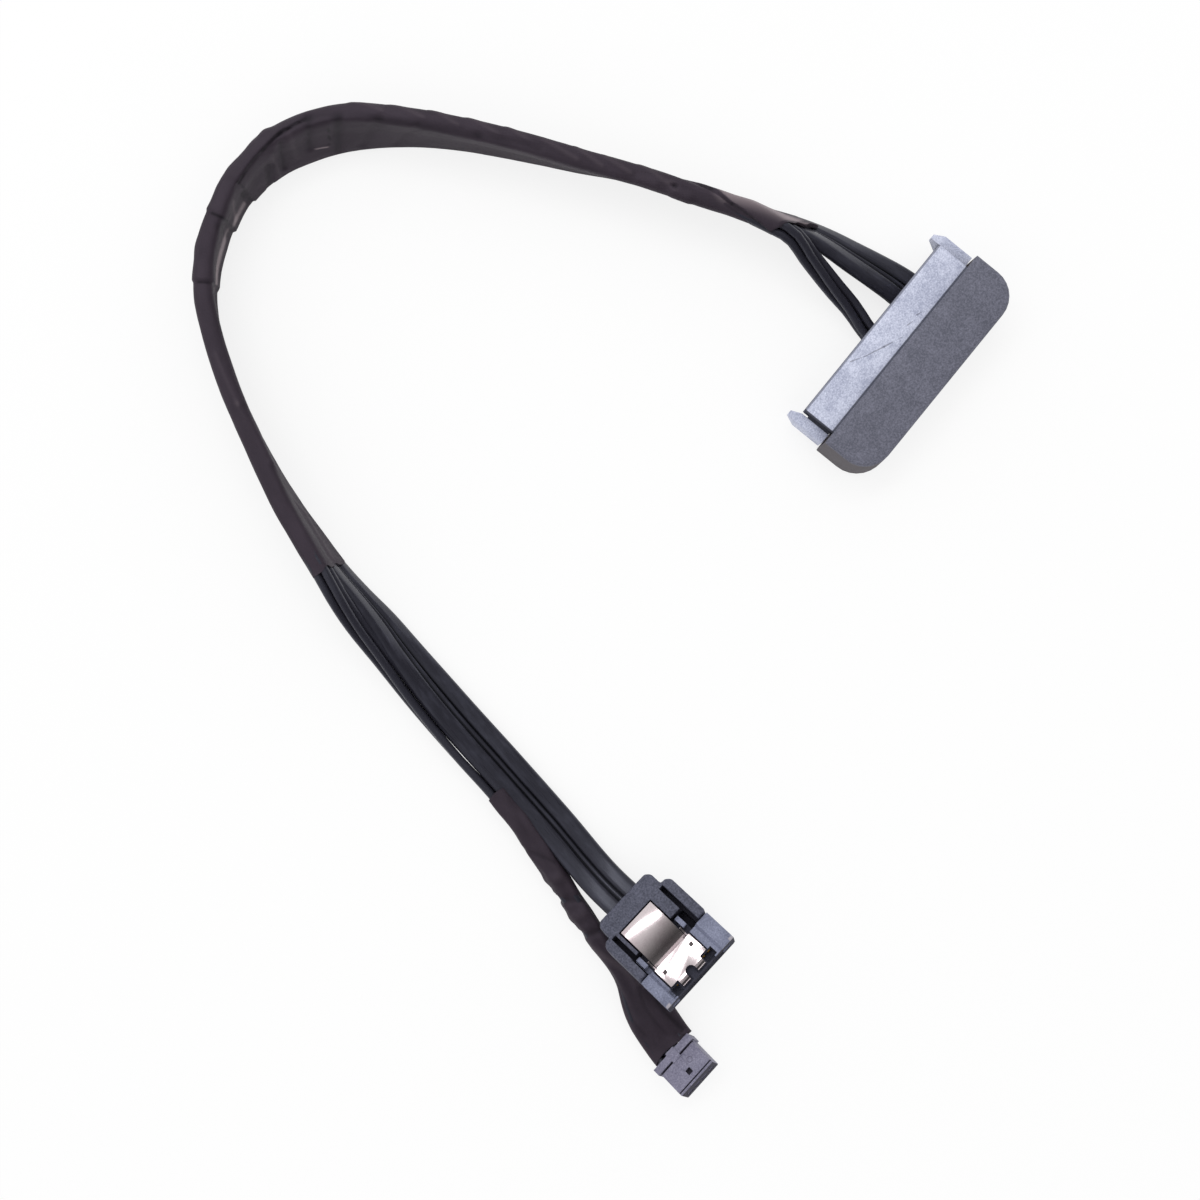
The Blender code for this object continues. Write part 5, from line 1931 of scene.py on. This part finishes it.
@dataclass
class TapeWork:
    """Both taped stretches of the cable."""

    gap: float = 0.15 * MM
    main: bpy.types.Object | None = None
    branch: bpy.types.Object | None = None

    def build(self) -> None:
        """Adds both sleeves."""
        outline = wrap_outline(self.gap)
        self.main = TapeSleeve(
            "main_tape",
            "main_tape_wrap",
            WRAP,
            0.0,
            float(WRAP.last),
            lambda place: outline,
            marks=MAIN_MARKS,
            start_shift=flap_shift,
            end_shift=lambda around, perimeter: 0.5 * sin(around * 1.3),
        ).build()
        wrapped = WRAP.last * WRAP_SUBDIVISIONS + 1
        first = len(POWER_START_ROUTE) + wrapped + BRANCH_STARTS_AT
        self.branch = TapeSleeve(
            "branch_tape",
            "branch_tape_wrap",
            POWER,
            float(first),
            float(POWER.last - 1),
            branch_outline,
            start_shift=lambda around, perimeter: 0.9 * sin(2 * pi * around / perimeter),
            marks=BRANCH_MARKS,
            end_shift=lip_shift,
            pucker=0.3 * MM,
            lining=2.0 * MM,
            seed=0.37,
        ).build()


# Studio


@dataclass(frozen=True)
class Studio:
    """Pale ground, a soft light from one side, a graded room and the camera over the table."""

    turn: float = -50.9
    place: Triple = (-65.2 * MM, 17.9 * MM, 280.0 * MM)
    field: float = 210.5 * MM
    lit: Triple = (-103.5 * MM, -35.0 * MM, 6.0 * MM)
    aim: Triple = (0.258, 0.482, 0.837)
    distance: float = 0.8
    box: Pair = (0.7, 0.17)
    power: float = 1.35
    fill: float = 0.85
    room_dim: float = 0.04
    room_bright: float = 0.78
    room_edge: float = 0.6
    ground_reach: float = 2.0
    ground_drop: float = 0.02 * MM

    def build(self) -> None:
        """Adds the ground, the lights and the camera."""
        self.add_ground()
        self.add_room()
        self.add_softbox()
        self.add_camera()

    def add_ground(self) -> None:
        """Adds the ground as a wide sheet just under the object."""
        shape = bmesh.new()
        bmesh.ops.create_grid(shape, x_segments=1, y_segments=1, size=self.ground_reach)
        bmesh.ops.translate(shape, verts=shape.verts, vec=(0, 0, -self.ground_drop))
        mesh = bpy.data.meshes.new("ground")
        shape.to_mesh(mesh)
        shape.free()
        ground = bpy.data.objects.new("ground", mesh)
        bpy.context.scene.collection.objects.link(ground)
        mesh.materials.append(MATERIALS.of(PALE_GROUND))
        ground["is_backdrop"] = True

    def add_room(self) -> None:
        """Lights the scene evenly, from a room that shows in gloss as dim on the near side."""
        graph = Graph(bpy.data.worlds.new("soft_room"), "Background")
        rays = graph.node("ShaderNodeLightPath", {})
        glossy = Value(graph, rays.outputs["Is Glossy Ray"])
        share = graph.facing(Vector((0, 1, 0))).ramp(-self.room_edge, self.room_edge)
        room = share * (self.room_bright - self.room_dim) + self.room_dim
        strength = glossy * (room - self.fill) + self.fill
        bpy.context.scene.world = graph.finish(Color=WHITE, Strength=strength)

    def add_softbox(self) -> None:
        """Adds the long soft light."""
        data = bpy.data.lights.new("softbox", "AREA")
        data.shape = "RECTANGLE"
        data.size, data.size_y = self.box
        data.energy = self.power
        light = bpy.data.objects.new("softbox", data)
        bpy.context.scene.collection.objects.link(light)
        aim = Vector(self.aim).normalized()
        light.location = Vector(self.lit) + aim * self.distance
        light.rotation_euler = (-aim).to_track_quat("-Z", "Y").to_euler()

    def add_camera(self) -> None:
        """Adds the camera, which looks straight down."""
        data = bpy.data.cameras.new("camera")
        data.sensor_fit = "HORIZONTAL"
        data.angle = 2 * atan(self.field / 2 / self.place[2])
        data.clip_start = 0.01
        camera = bpy.data.objects.new("camera", data)
        bpy.context.scene.collection.objects.link(camera)
        camera.location = self.place
        camera.rotation_euler = (0, 0, radians(self.turn))
        bpy.context.scene.camera = camera


def main() -> None:
    """Builds the scene."""
    logging.basicConfig(level=logging.INFO)
    bpy.context.scene.view_settings.view_transform = "Standard"
    Studio().build()
    lead, wires = DataLead(), PowerWires()
    lead.build()
    wires.build()
    DriveReceptacle().build()
    data_plug, power_plug = DataPlug(), PowerPlug()
    data_plug.build()
    power_plug.build()
    tape = TapeWork()
    tape.build()
    lead.declare([*data_plug.pieces, tape.main])
    riders = [[terminal] for terminal in power_plug.terminals]
    riders[0] += [power_plug.shell, tape.branch]
    wires.declare(riders)
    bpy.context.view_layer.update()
    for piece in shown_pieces():
        LOG.info("piece %s is in place", piece.name)


if __name__ == "__main__":
    main()
